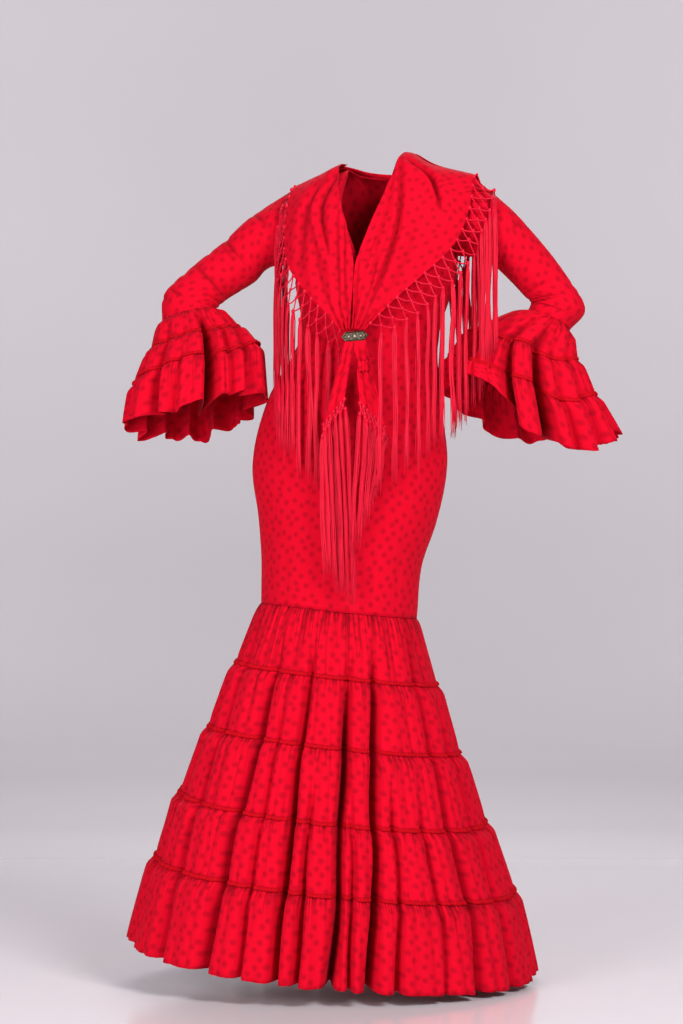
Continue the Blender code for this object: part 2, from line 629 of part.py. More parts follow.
# ---------------------------------------------------------------- fringe
def fringe(name, roots, away, reach, clear, material, collection):
    """Net heading and strands that hang from one edge of the shawl.

    roots are points just under the edge, a pitch apart, and away leads off the cloth.  A
    narrow strip joins the roots.  From each root two cords run down to the knots beside it,
    and a strand of the length reach hangs from every knot, outside the dress.
    """
    count = len(roots)
    along = unit(np.gradient(roots, axis=0))
    down = unit(away * NET_OUT - np.array([0.0, 0.0, NET_FALL]))
    strip = roots + away * STRIP_HEIGHT
    left = strip - along * CORD_WIDTH
    right = strip + along * CORD_WIDTH
    point = strip + unit(away + down) * CORD_WIDTH
    knot = (roots[:-1] + roots[1:]) / 2 + (down[:-1] + down[1:]) / 2 * NET_DROP
    side = unit((along[:-1] + along[1:]) * np.array([1.0, 1.0, 0.0]))
    knot = push_out(knot, clear)
    knot_top = knot + np.array([0.0, 0.0, CORD_WIDTH])
    knot_left = knot - side * STRAND_HALF_WIDTH
    knot_right = knot + side * STRAND_HALF_WIDTH
    front = np.where(knot[:, 1] < FRONT_FROM, -1.0, 1.0)[:, None] * np.array(LEAN_WAY)
    lean = front * SLEEVE_LEAN * np.clip((knot[:, 2:3] - LEAN_FROM) / LEAN_FADE, 0, 1)
    ends = []
    for share in (STRAND_BEND_AT, 1.0):
        lower = knot - np.array([0.0, 0.0, 1.0]) * (np.asarray(reach) * share)[:, None]
        lower = push_out(lower + lean * share, clear)
        ends.append((lower - side * STRAND_HALF_WIDTH, lower + side * STRAND_HALF_WIDTH))
    points = np.concatenate([roots, left, right, point, knot_left, knot_top, knot_right,
                             ends[0][0], ends[0][1], ends[1][0], ends[1][1]])
    starts = np.cumsum([0] + [count] * 4 + [count - 1] * 6)
    root, lo, hi, tip, kl, kt, kr, al, ar, bl, br = (int(start) for start in starts)
    faces = []
    for place in range(count):
        faces.append([root + place, lo + place, hi + place])
        faces.append([lo + place, tip + place, hi + place])
    for place in range(count - 1):
        after = place + 1
        faces += [
            [root + place, hi + place, lo + after, root + after],
            [tip + place, kl + place, kt + place, hi + place],
            [lo + after, kt + place, kr + place, tip + after],
            [kt + place, kl + place, kr + place],
            [kl + place, al + place, ar + place, kr + place],
            [al + place, bl + place, br + place, ar + place],
        ]
    thing = mesh_object(name, points, faces, material, collection)
    return add_wall(thing, FRINGE_WALL)


def hang_fringe(name, edge, inside, length, clear, material, collection):
    """Hang a fringe along a border of a cloth.

    edge runs along the border and inside is the row of the cloth beside it.  The roots lie
    beside the border's own points.  No strand reaches below the sleeve ruffles' tops where
    it hangs over them.
    """
    away = unit(edge - inside)
    roots = edge + away * EDGE_GAP
    middle = (roots[:-1] + roots[1:]) / 2
    over_sleeve = np.abs(middle[:, 0] - body_columns(CHEST_LEVEL)[1]) > OVER_SLEEVE
    reach = np.where(over_sleeve, middle[:, 2] - NET_DROP - SLEEVE_FLOOR, length)
    fringe(name, roots, away, np.clip(reach, SHORTEST_STRAND, length), clear, material,
           collection)


# ---------------------------------------------------------------- assembly
def build_body(red, collection):
    """Front and back panels of the fitted body."""
    cloth("body_front", body_panel(1), red, collection, flipped=True)
    cloth("body_back", body_panel(-1), red, collection)


def build_sleeves(red, braid_red, collection):
    """Sleeves with three ruffles each and the braids over the ruffle seams."""
    for word, hand, sections, ruffles in (("right", -1, RIGHT_SLEEVE, RIGHT_RUFFLES),
                                          ("left", 1, LEFT_SLEEVE, LEFT_RUFFLES)):
        inside = hand < 0
        cloth(f"sleeve_{word}", sleeve_grid(hand, sections), red, collection,
              closed=True, flipped=inside)
        angle = np.linspace(0, 2 * math.pi, RUFFLE_COLUMNS, endpoint=False)
        for number in range(3):
            grid = ruffle_grid(ruffles, number, RUFFLE_FLUTE_DEPTHS, number * 1.3)
            cloth(f"sleeve_{word}_ruffle_{number + 1}", grid, red, collection,
                  closed=True, flipped=inside)
            if number < 2:
                cuff = ruffles[number + 1]
                centre = np.array([cuff.x, cuff.y, cuff.z])
                below = ruffle_grid(ruffles, number + 1, RUFFLE_FLUTE_DEPTHS, (number + 1) * 1.3)
                braid(f"sleeve_{word}_braid_{number + 1}", grid, below, centre,
                      SLEEVE_BRAID_CLEAR, braid_red, collection)


def build_skirt(red, braid_red, collection):
    """Five gathered tiers and the four braids over their seams."""
    for number in range(5):
        grid = tier_grid(number)
        cloth(f"skirt_tier_{number + 1}", grid, red, collection, closed=True, flipped=True)
        if number < 4:
            ring = SKIRT[number + 1]
            centre = np.array([ring.x, ring.y, ring.z])
            braid(f"skirt_braid_{number + 1}", grid, tier_grid(number + 1), centre,
                  BRAID_CLEAR, braid_red, collection)


def build_shawl(red, fringe_red, collection):
    """The stretches of the shawl, its two tails and the fringe on each edge."""
    for word, hand in (("right", -1), ("left", 1)):
        grid = shawl_front_grid(hand)
        cloth(f"shawl_front_{word}", grid, red, collection, flipped=hand > 0)
        hang_fringe(f"fringe_front_{word}", grid[BARE_ROWS:, -1], grid[BARE_ROWS:, -2],
                    STRAND_LENGTH, FRINGE_CLEAR, fringe_red, collection)
    back = shawl_back_grid()
    cloth("shawl_back", back, red, collection)
    hang_fringe("fringe_back", back[-1], back[-2], STRAND_LENGTH, FRINGE_CLEAR, fringe_red,
                collection)
    for word, tail in zip(("right", "left"), TAILS):
        grid = tail_grid(tail)
        cloth(f"shawl_tail_{word}", grid, red, collection)
        hang_fringe(f"fringe_tail_{word}", grid[-1], grid[-2], TAIL_STRAND_LENGTH,
                    tail.clear, fringe_red, collection)


def build_clasp(bronze, collection):
    """The oblong clasp with pointed ends that holds the shawl's two sides together."""
    half = (CLASP_LENGTH / 2, CLASP_WIDTH / 2)
    outline = [(-half[0], 0.0), (-half[0] + CLASP_POINT, half[1]),
               (half[0] - CLASP_POINT, half[1]), (half[0], 0.0),
               (half[0] - CLASP_POINT, -half[1]), (-half[0] + CLASP_POINT, -half[1])]
    curve = bpy.data.curves.new("clasp", "CURVE")
    curve.dimensions = "2D"
    curve.fill_mode = "BOTH"
    curve.extrude = CLASP_THICKNESS / 2
    line = curve.splines.new("POLY")
    line.points.add(len(outline) - 1)
    for point, place in zip(line.points, outline):
        point.co = (*place, 0.0, 1.0)
    line.use_cyclic_u = True
    clasp = bpy.data.objects.new("clasp", curve)
    clasp.location = CLASP_PLACE
    clasp.rotation_euler = tuple(math.radians(angle) for angle in CLASP_TURN)
    curve.materials.append(bronze)
    collection.objects.link(clasp)


def main():
    """Build the dress."""
    clear_scene()
    collection = make_collection("flamenco_dress")
    red = make_material("red_crepe", (0.76, 0.006, 0.030), 0.8)
    braid_red = make_material("red_braid", (0.55, 0.004, 0.020), 0.85)
    fringe_red = make_material("fringe_red", (0.62, 0.010, 0.060), 0.55)
    bronze = make_material("clasp_bronze", (0.22, 0.16, 0.08), 0.45, 1.0)
    build_body(red, collection)
    build_sleeves(red, braid_red, collection)
    build_skirt(red, braid_red, collection)
    build_shawl(red, fringe_red, collection)
    build_clasp(bronze, collection)


main()
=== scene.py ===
"""Looks of the flamenco dress: dotted crepe panels, gathered tiers, ruched braid, shawl,
knotted fringe and clasp, laid out as an add-on and run as a script.

Metres, +Z up.  The origin is the middle of the shoulder line, the front faces -Y and the
wearer's right side is at -X.
"""
import json
import math
from collections import namedtuple

import bmesh
import bpy
import numpy as np
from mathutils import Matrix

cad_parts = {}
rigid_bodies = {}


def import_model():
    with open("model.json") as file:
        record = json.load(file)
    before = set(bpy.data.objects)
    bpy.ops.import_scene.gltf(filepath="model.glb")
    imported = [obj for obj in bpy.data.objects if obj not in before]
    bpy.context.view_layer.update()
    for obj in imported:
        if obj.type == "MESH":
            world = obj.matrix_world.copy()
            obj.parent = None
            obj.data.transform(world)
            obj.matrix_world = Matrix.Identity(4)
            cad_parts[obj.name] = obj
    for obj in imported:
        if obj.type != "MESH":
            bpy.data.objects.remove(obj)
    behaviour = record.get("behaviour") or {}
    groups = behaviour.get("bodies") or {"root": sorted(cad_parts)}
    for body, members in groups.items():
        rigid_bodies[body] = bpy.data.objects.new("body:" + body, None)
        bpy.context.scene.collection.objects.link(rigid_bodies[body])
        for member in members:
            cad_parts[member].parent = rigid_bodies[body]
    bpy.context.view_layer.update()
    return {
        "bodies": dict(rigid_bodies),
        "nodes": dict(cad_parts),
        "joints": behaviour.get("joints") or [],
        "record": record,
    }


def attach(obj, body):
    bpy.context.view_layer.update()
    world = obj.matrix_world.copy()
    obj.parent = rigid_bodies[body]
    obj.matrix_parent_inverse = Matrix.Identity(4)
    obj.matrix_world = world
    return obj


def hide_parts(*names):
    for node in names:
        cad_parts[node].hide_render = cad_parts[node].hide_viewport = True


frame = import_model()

bl_info = {
    "name": "Flamenco Dress",
    "version": (1, 0, 0),
    "blender": (4, 5, 0),
    "location": "View3D > Sidebar > Dress",
    "description": "Builds a worn flamenco dress with tiers, ruffles and a fringed shawl",
    "category": "Add Mesh",
}

HANDS = (("right", -1), ("left", 1))
UP = np.array([0.0, 0.0, 1.0])


def rows(kind, *table):
    """Table of named rows."""
    return tuple(kind(*row) for row in table)


# ---------------------------------------------------------------- the dress's own sizes
Section = namedtuple("Section", "z x y half_width front back turn roll")
# One row for each level of the fitted body, from the knee seam up to the neck.
BODY = rows(Section,
    (-0.807, -0.058, 0, 0.146, 0.128, 0.128, 0, -6),
    (-0.713, -0.053, 0, 0.151, 0.128, 0.138, 1, -3),
    (-0.638, -0.042, 0, 0.167, 0.13, 0.152, 3, -1),
    (-0.535, -0.038, 0, 0.183, 0.128, 0.163, 5, 0), (-0.413, -0.03, 0, 0.163, 0.117, 0.136, 8, 0),
    (-0.291, 0, 0, 0.131, 0.106, 0.088, 14, 0), (-0.19, 0.012, 0, 0.154, 0.134, 0.096, 17, 1.5),
    (-0.1, 0.018, 0, 0.17, 0.12, 0.098, 17, 3), (0, 0.02, 0, 0.18, 0.07, 0.07, 17, 3),
    (0.06, 0.012, 0, 0.18, 0.07, 0.07, 17, 3))
SHOULDER_HEIGHT = 0.039
SHOULDER_SLOPE = 0.26
SHOULDER_TIP = 0.175
ARMPIT_HEIGHT = -0.152
ARMHOLE_GAP = 0.0006
TUCK_DEPTH = 0.0022      # depth of a sharp tuck whose painted shade is at full strength
NECK_HALF_WIDTH = 0.060
CHEST_LEVEL = -0.190
PUSH_TOP = -0.060
PUSH_FADE = 0.060
ARMHOLE_COLUMNS = 28
SHOULDER_COLUMNS = 12
NECK_COLUMNS = 16

Ring = namedtuple("Ring", "x y z half_width half_depth roll front_drop fold ripple")
# One row for each seam of the skirt: knee seam, four braided seams and the hem.
SKIRT = rows(Ring,
    (-0.058, 0, -0.807, 0.146, 0.128, -6, 0, 0, 0),
    (-0.063, 0, -0.923, 0.184, 0.168, -6.5, 0.002, 0.021, 0.0018),
    (-0.067, 0, -1.046, 0.227, 0.212, -6.3, 0.004, 0.036, 0.0026),
    (-0.07, 0, -1.17, 0.276, 0.262, -6, 0.014, 0.046, 0.0032),
    (-0.066, 0, -1.294, 0.324, 0.308, -5.6, 0.014, 0.054, 0.0036),
    (-0.07, 0, -1.442, 0.37, 0.35, -4.9, 0.026, 0.062, 0.004))
Valley = namedtuple("Valley", "top bottom half_width depth start")
# The long folds that run down the skirt: angle of each valley at the first braid and at
# the hem, from the front middle towards the wearer's left, its half width in metres, its
# depth beside the deepest and the seam at which it starts.
SKIRT_VALLEYS = rows(Valley,
    (-178, -175, 0.007, 1.1, 1), (-160, -157, 0.006, 0.8, 1), (-143, -146, 0.007, 1.2, 1),
    (-126, -124, 0.005, 0.7, 2), (-108, -111, 0.007, 1.1, 1), (-91, -95, 0.005, 0.8, 1),
    (-76, -78, 0.006, 0.9, 1), (-63, -57, 0.006, 1.2, 1), (-37, -39, 0.008, 1.7, 1),
    (-26, -27, 0.005, 0.6, 2), (-14.8, -16.8, 0.0055, 1.7, 1), (-7, -10.6, 0.0045, 0.8, 3),
    (7, -0.8, 0.0075, 1.9, 1), (9.5, 4.6, 0.0045, 0.7, 3), (22, 10.6, 0.006, 2.1, 1),
    (28, 18.6, 0.005, 0.9, 3), (38, 33, 0.005, 0.5, 3), (52, 46, 0.006, 1.2, 1),
    (68, 60.5, 0.006, 0.7, 2), (85, 79, 0.006, 0.9, 1), (104, 100, 0.007, 1.1, 1),
    (122, 125, 0.005, 0.8, 2), (139, 136, 0.007, 1.2, 1), (158, 161, 0.006, 0.9, 1))
Flute = namedtuple("Flute", "angle half_angle depth")

Cuff = namedtuple("Cuff", "x y z half_across half_deep turn tip sag")
# Sleeve sections from the upper arm to the seam under the elbow.  "turn" is the direction
# of the outer side seen from the front, "tip" lifts the front of the section and "sag"
# lets its front and back hang lower than its two ends.
RIGHT_SLEEVE = rows(Cuff,
    (-0.206, 0.06, -0.112, 0.051, 0.054, 112, 4, 0),
    (-0.248, 0.062, -0.15, 0.048, 0.05, 128, 4, 0), (-0.3, 0.06, -0.187, 0.045, 0.047, 134, 4, 0),
    (-0.339, 0.056, -0.224, 0.051, 0.049, 163, 6, 0),
    (-0.342, 0.05, -0.252, 0.0525, 0.05, 194, 8, 0))
LEFT_SLEEVE = rows(Cuff,
    (0.233, -0.06, -0.1034, 0.054, 0.053, 68, 0, 0),
    (0.2775, -0.052, -0.1452, 0.0465, 0.05, 50, 0, 0),
    (0.3235, -0.042, -0.1976, 0.043, 0.047, 33, 2, 0),
    (0.35, -0.034, -0.238, 0.051, 0.05, -6, 4, 0),
    (0.333, -0.032, -0.266, 0.043, 0.049, -27, 6, 0))
# Seams of the three ruffles that hang from each sleeve, and their hem.
RIGHT_RUFFLES = rows(Cuff,
    (-0.342, 0.05, -0.252, 0.0525, 0.05, 194, 8, 0),
    (-0.33, 0.036, -0.298, 0.081, 0.072, 195, 12, 0.004),
    (-0.326, 0.018, -0.346, 0.113, 0.096, 198, 15, 0.01),
    (-0.328, 0, -0.44, 0.123, 0.112, 193, 17, 0.018))
LEFT_RUFFLES = rows(Cuff,
    (0.333, -0.032, -0.2656, 0.043, 0.049, -27, 6, 0),
    (0.285, -0.034, -0.311, 0.098, 0.074, -14, 6, 0.01),
    (0.285, -0.036, -0.365, 0.132, 0.096, -14, 7, 0.022),
    (0.301, -0.038, -0.44, 0.159, 0.112, -14, 8, 0.036))
# The long folds down each sleeve's ruffles, counted from the outer side towards the front.
RIGHT_RUFFLE_FLUTES = rows(Flute,
    (18, 7, 0.8), (56, 6, 1.1), (78, 4, 0.5), (110, 5, 2.6), (130, 4, 0.6), (150, 6, 0.9),
    (205, 8, 1), (228, 5, 0.7), (255, 7, 1), (283, 5, 0.8), (312, 8, 1), (338, 5, 0.7))
LEFT_RUFFLE_FLUTES = rows(Flute,
    (14, 6, 0.7), (38, 5, 0.6), (60, 5, 0.7), (80, 4.8, 2.3), (108, 4.6, 2), (150, 8, 0.7),
    (205, 7, 0.9), (232, 6, 0.8), (262, 7, 0.9), (288, 5, 0.7), (314, 7, 1), (340, 5, 0.6))
RUFFLE_FLUTE_DEPTHS = (0, 0.013, 0.026, 0.042)
RUFFLE_RIPPLES = (0.0004, 0.0022, 0.0030, 0.0040)
Lift = namedtuple("Lift", "angle half_angle first second hem")
# Lobes of the ruffles that hang higher or lower than the rest, by the same angles: how
# much at the first and second braid and at the hem.
RIGHT_LIFTS = rows(Lift,
    (128, 28, -0.002, -0.01, 0.004), (76, 11, 0, 0, -0.006), (235, 9, 0, 0, 0.008),
    (262, 9, 0, 0, -0.007), (300, 11, 0, 0, 0.007), (282, 42, 0, 0, 0.009), (6, 24, 0, 0, 0.012))
LEFT_LIFTS = rows(Lift,
    (134, 26, 0, 0, 0.046), (94, 11, 0.004, -0.004, -0.022), (58, 22, -0.014, -0.028, -0.036),
    (28, 14, -0.006, -0.01, -0.014), (0, 12, -0.002, -0.006, 0.006), (285, 10, 0, 0, 0.012),
    (250, 14, 0, 0, -0.006))

# ---------------------------------------------------------------- shawl sizes
SHAWL_RISE = 0.0060
SHAWL_REST = 0.0023
SHAWL_EASE = 0.0002
SHAWL_HALF_WIDTH = 0.202
SHAWL_FRONT = 0.147
SHAWL_BACK = 0.120
SHAWL_ROUND = 2.6
SHAWL_CHEST = -0.165
SHAWL_CLEAR = 0.009
SHAWL_SHIFT = (-0.010, 0.014)    # how far its outer corners slip out, right and left
COLLAR_STAND = (0.003, 0.015)    # how high it stands beside the neck, right and left
COLLAR_AT = 0.064
COLLAR_HALF_WIDTH = 0.026
EdgePoint = namedtuple("EdgePoint", "along inner inner_z outer outer_z")
# The folded shawl, one row for each step from the shoulder line to the clasp: how far from
# the middle its neck edge and its fringed edge lie, and how high.
SHAWL_FRONT_EDGES = rows(EdgePoint,
    (0, 0.062, 0.0311, 0.172, -0.0025), (0.25, 0.046, -0.03, 0.172, -0.075),
    (0.5, 0.02, -0.105, 0.154, -0.15), (0.7, 0.002, -0.17, 0.108, -0.205),
    (0.88, 0.002, -0.245, 0.054, -0.257), (1, 0.002, -0.288, 0.022, -0.29))
BackPoint = namedtuple("BackPoint", "across top bottom")
# The back triangle, from the middle outwards: its neck and shoulder line and its lower edge.
SHAWL_BACK_EDGES = rows(BackPoint,
    (0, 0.017, -0.385), (0.045, 0.023, -0.295), (0.07, 0.0288, -0.245), (0.125, 0.0124, -0.135),
    (0.172, -0.0025, -0.04))
CLASP_PLACE = (-0.0290, -0.1420, -0.3010)
CLASP_LENGTH = 0.050
CLASP_WIDTH = 0.017
CLASP_POINT = 0.008
CLASP_THICKNESS = 0.005
CLASP_GAP = 0.0007       # between its lower side and the tails' top edges
CLASP_SWING = -14.0      # degrees that it turns round the vertical
CLASP_RISE = 4.0         # degrees that its left end stands higher
PEARLS = ((-0.0112, 0.0019), (0.0, 0.0025), (0.0112, 0.0019))    # place along it and radius
BEAD_RADIUS = 0.0010
Tail = namedtuple("Tail", "top_x top_half low_x low_half low_z clear inner_rise ends lean")
# The two ends of the shawl that hang under the clasp.  Their low edges slant: the corner
# beside the middle lies higher by inner_rise.  Their strands end between the two heights
# and lean to the middle.
TAILS = (
    Tail(-0.0400, 0.0080, -0.0675, 0.0190, -0.463, 0.038, 0.046, (-0.735, -0.790), 0.012),
    Tail(-0.0200, 0.0110, 0.0030, 0.0230, -0.468, 0.037, 0.044, (-0.705, -0.580), -0.016),
)
TAIL_Y = -0.10           # where their low edges start before they clear the body
BAND_AT = 0.34           # how far down the left tail its band lies
BAND_SIZE = (0.0088, 0.0052, 0.0210)    # its half width, half depth and height
BAND_PITCH = 0.0062

Fold = namedtuple("Fold", "x0 z0 x1 z1 x2 z2 half_width depth")
# Main folds of the shawl's front, each a curve through three places seen from the front.
SHAWL_FOLDS = rows(Fold,
    (-0.054, 0.018, -0.092, -0.058, -0.079, -0.148, 0.006, 0.01),
    (-0.08, -0.004, -0.118, -0.062, -0.131, -0.17, 0.0075, 0.006),
    (-0.05, 0.005, -0.049, -0.135, -0.048, -0.286, 0.003, 0.005),
    (-0.064, -0.08, -0.062, -0.17, -0.052, -0.285, 0.0065, 0.0042),
    (-0.104, -0.11, -0.092, -0.2, -0.054, -0.287, 0.008, 0.0034),
    (-0.022, -0.15, -0.027, -0.22, -0.032, -0.286, 0.0026, 0.0046),
    (0.059, 0.04, 0.047, -0.11, -0.016, -0.282, 0.005, 0.011),
    (0.046, 0.024, 0.02, -0.1, -0.014, -0.18, 0.004, 0.005),
    (0.07, 0.03, 0.112, -0.008, 0.131, -0.066, 0.0052, 0.015),
    (0.01, -0.13, 0.002, -0.2, -0.022, -0.284, 0.0045, 0.0046),
    (0.086, -0.08, 0.062, -0.17, -0.006, -0.284, 0.009, 0.004))
# Folds of the shawl's back, mirrored pairs that fan from the neck.
SHAWL_BACK_FOLDS = rows(Fold,
    (-0.05, 0.01, -0.064, -0.09, -0.04, -0.21, 0.008, 0.006),
    (0.066, 0.01, 0.072, -0.08, 0.05, -0.2, 0.008, 0.006),
    (-0.005, 0, 0.006, -0.12, 0.004, -0.3, 0.01, 0.005),
    (-0.11, -0.01, -0.112, -0.06, -0.088, -0.13, 0.008, 0.005),
    (0.13, -0.01, 0.128, -0.06, 0.104, -0.13, 0.008, 0.005))

Crease = namedtuple("Crease", "along across half_along half_across lean depth")
# Soft troughs in the fitted body: height in metres, place from the side seam (0) over the
# middle (0.5) to the other seam (1), its half sizes, its slant and its depth.
FRONT_CREASES = rows(Crease,
    (-0.3, 0.1, 0.007, 0.13, 0.06, 0.003), (-0.325, 0.14, 0.008, 0.15, -0.05, 0.0026),
    (-0.352, 0.08, 0.009, 0.12, 0.08, 0.0024), (-0.296, 0.9, 0.007, 0.13, -0.08, 0.003),
    (-0.322, 0.87, 0.009, 0.14, 0.04, 0.0024), (-0.35, 0.92, 0.009, 0.11, -0.06, 0.0022),
    (-0.59, 0.2, 0.02, 0.16, 0.16, 0.0022), (-0.655, 0.16, 0.018, 0.16, 0.2, 0.0026),
    (-0.6, 0.8, 0.02, 0.15, -0.18, 0.0022), (-0.67, 0.84, 0.018, 0.15, -0.22, 0.0024),
    (-0.72, 0.5, 0.09, 0.02, 0, 0.0016), (-0.735, 0.36, 0.07, 0.018, 0, 0.0018),
    (-0.73, 0.63, 0.07, 0.02, 0, 0.0018), (-0.745, 0.74, 0.06, 0.018, 0, 0.0016),
    (-0.74, 0.24, 0.06, 0.018, 0, 0.0016), (-0.48, 0.3, 0.12, 0.03, 0.2, 0.0014),
    (-0.5, 0.68, 0.12, 0.03, -0.2, 0.0014))
BACK_CREASES = rows(Crease,
    (-0.296, 0.12, 0.008, 0.14, 0.05, 0.0032), (-0.322, 0.3, 0.009, 0.16, -0.04, 0.0028),
    (-0.306, 0.62, 0.008, 0.16, 0.04, 0.003), (-0.336, 0.84, 0.009, 0.15, -0.07, 0.0026),
    (-0.362, 0.16, 0.01, 0.14, 0.08, 0.0022), (-0.64, 0.24, 0.02, 0.17, 0.18, 0.0026),
    (-0.64, 0.76, 0.02, 0.17, -0.18, 0.0026), (-0.7, 0.5, 0.08, 0.025, 0, 0.0022),
    (-0.73, 0.34, 0.07, 0.02, 0, 0.0018), (-0.735, 0.66, 0.07, 0.02, 0, 0.0018))
# Troughs round the sleeves: place from the armhole (0) to the elbow seam (1), angle in
# turns from the inner side over the front, and the same sizes.
RIGHT_SLEEVE_CREASES = rows(Crease,
    (0.16, 0.6, 0.02, 0.1, 0.1, 0.0024), (0.24, 0.72, 0.018, 0.12, -0.12, 0.0024),
    (0.38, 0.55, 0.016, 0.14, 0.14, 0.003), (0.52, 0.4, 0.018, 0.16, -0.16, 0.0028),
    (0.66, 0.46, 0.016, 0.18, 0.1, 0.0024), (0.75, 0.4, 0.016, 0.16, -0.14, 0.0024),
    (0.84, 0.5, 0.016, 0.14, 0.16, 0.002), (0.7, 0.12, 0.02, 0.12, 0, 0.0036),
    (0.79, 0.1, 0.018, 0.12, 0.08, 0.0048), (0.3, 0.1, 0.02, 0.14, 0.1, 0.0028),
    (0.6, 0.86, 0.02, 0.14, 0.1, 0.0034), (0.72, 0.82, 0.018, 0.14, -0.1, 0.0034))
LEFT_SLEEVE_CREASES = rows(Crease,
    (0.1, 0.3, 0.022, 0.12, 0.14, 0.0026), (0.22, 0.24, 0.022, 0.12, 0.16, 0.0028),
    (0.36, 0.34, 0.018, 0.14, -0.12, 0.0026), (0.52, 0.28, 0.018, 0.16, 0.12, 0.003),
    (0.66, 0.32, 0.014, 0.2, 0.06, 0.0042), (0.71, 0.3, 0.01, 0.18, 0.05, 0.004),
    (0.8, 0.26, 0.016, 0.16, -0.1, 0.0034), (0.68, 0.1, 0.02, 0.12, 0, 0.0046),
    (0.78, 0.06, 0.018, 0.12, 0.06, 0.0046), (0.3, 0.8, 0.02, 0.14, 0.1, 0.0028),
    (0.62, 0.78, 0.02, 0.14, -0.1, 0.0036), (0.74, 0.84, 0.018, 0.14, 0.1, 0.0034))
# Sharp tucks in the same measures.
RIGHT_SLEEVE_TUCKS = rows(Crease,
    (0.176, 0.58, 0.011, 0.1, -0.21, 0.002), (0.394, 0.64, 0.011, 0.12, 0, 0.0022),
    (0.426, 0.66, 0.01, 0.07, 0.04, 0.0016), (0.613, 0.74, 0.011, 0.17, 0.05, 0.0026),
    (0.789, 0.64, 0.011, 0.07, 0.31, 0.0022), (0.5, 0.16, 0.011, 0.12, 0.1, 0.0018))
LEFT_SLEEVE_TUCKS = rows(Crease,
    (0.795, 0.88, 0.012, 0.12, 0.43, 0.0026), (0.866, 0.83, 0.011, 0.13, -0.26, 0.0022),
    (0.289, 0.64, 0.01, 0.05, -0.2, 0.0018), (0.52, 0.2, 0.011, 0.12, -0.1, 0.0018))

Arm = namedtuple("Arm", "word hand sleeve ruffles flutes lifts creases tucks seed")
ARMS = rows(Arm,
    ("right", -1, RIGHT_SLEEVE, RIGHT_RUFFLES, RIGHT_RUFFLE_FLUTES, RIGHT_LIFTS,
     RIGHT_SLEEVE_CREASES, RIGHT_SLEEVE_TUCKS, 300),
    ("left", 1, LEFT_SLEEVE, LEFT_RUFFLES, LEFT_RUFFLE_FLUTES, LEFT_LIFTS,
     LEFT_SLEEVE_CREASES, LEFT_SLEEVE_TUCKS, 400))

# ---------------------------------------------------------------- fineness of the meshes
TIER_COLUMNS = 770
TIER_ROWS = 23
RUFFLE_COLUMNS = 312
RUFFLE_ROWS = 20
BODY_ROWS = 72
CHEST_ROWS = 26
SLEEVE_ROWS = 100
SHAWL_ROWS = 110
SHAWL_COLUMNS = 64
BACK_ROWS = 64
BACK_HALF_COLUMNS = 60
GATHER_PITCH = 0.0200    # distance between the fine gathers at a seam
FOLD_PITCH = 0.0460      # distance between the middle folds of a tier
FINE_GATHER = 0.0046
GATHER_FADES = (0.50, 0.16, 0.15, 0.14, 0.13)   # how far down each tier its gathers reach
MIDDLE_FOLD = 0.0080
TIER_PUFFS = (0.0020, 0.0085, 0.0100, 0.0110, 0.0110)
RUFFLE_PUFF = 0.0095
RUFFLE_GATHER_PITCH = 0.0125
RUFFLE_FOLD_PITCH = 0.034
RUFFLE_GATHER = 0.0068
RUFFLE_FOLD = 0.0130
HEM_WAVE = 0.0045        # how much lower the hem hangs on a ridge
BRAID_PITCH = 0.0058     # distance between a braid's pinches
FULLNESS = 1.15          # cut width beside the width of the modelled gathers
GATHERED_WIDTH = 1.06    # width of a gathered ring's map beside its smoothed rows


# ---------------------------------------------------------------- settings
class DressSettings(bpy.types.PropertyGroup):
    """Sizes and colours that a user would change."""
    cloth_thickness: bpy.props.FloatProperty(
        name="Cloth thickness", description="Wall of the crepe", default=0.0010,
        unit="LENGTH", precision=5)
    dot_spacing: bpy.props.FloatProperty(
        name="Dot spacing", description="Mean distance between dots", default=0.0190,
        unit="LENGTH", precision=4)
    dot_width: bpy.props.FloatProperty(
        name="Dot width", description="Width of one dot", default=0.0096,
        unit="LENGTH", precision=4)
    gather_height: bpy.props.FloatProperty(
        name="Gather height", description="How far the fine gathers stand out",
        default=FINE_GATHER, unit="LENGTH", precision=5)
    braid_height: bpy.props.FloatProperty(
        name="Braid height", description="Height of the ruched braid over a seam",
        default=0.0074, unit="LENGTH", precision=5)
    strand_length: bpy.props.FloatProperty(
        name="Strand length", description="Length of the shawl's fringe under its net",
        default=0.278, unit="LENGTH", precision=4)
    knot_pitch: bpy.props.FloatProperty(
        name="Knot pitch", description="Distance between the fringe's knots along the edge",
        default=0.0285, unit="LENGTH", precision=4)
    red: bpy.props.FloatVectorProperty(
        name="Crepe red", description="Ground colour of the crepe", subtype="COLOR",
        default=(0.560, 0.0008, 0.0140), min=0.0, max=1.0)
    dot_red: bpy.props.FloatVectorProperty(
        name="Dot red", description="Colour of the dots", subtype="COLOR",
        default=(0.300, 0.0007, 0.0090), min=0.0, max=1.0)
    braid_red: bpy.props.FloatVectorProperty(
        name="Braid red", description="Colour of the braid", subtype="COLOR",
        default=(0.440, 0.0006, 0.0066), min=0.0, max=1.0)
    fringe_red: bpy.props.FloatVectorProperty(
        name="Fringe red", description="Colour of the fringe", subtype="COLOR",
        default=(0.640, 0.0024, 0.0260), min=0.0, max=1.0)


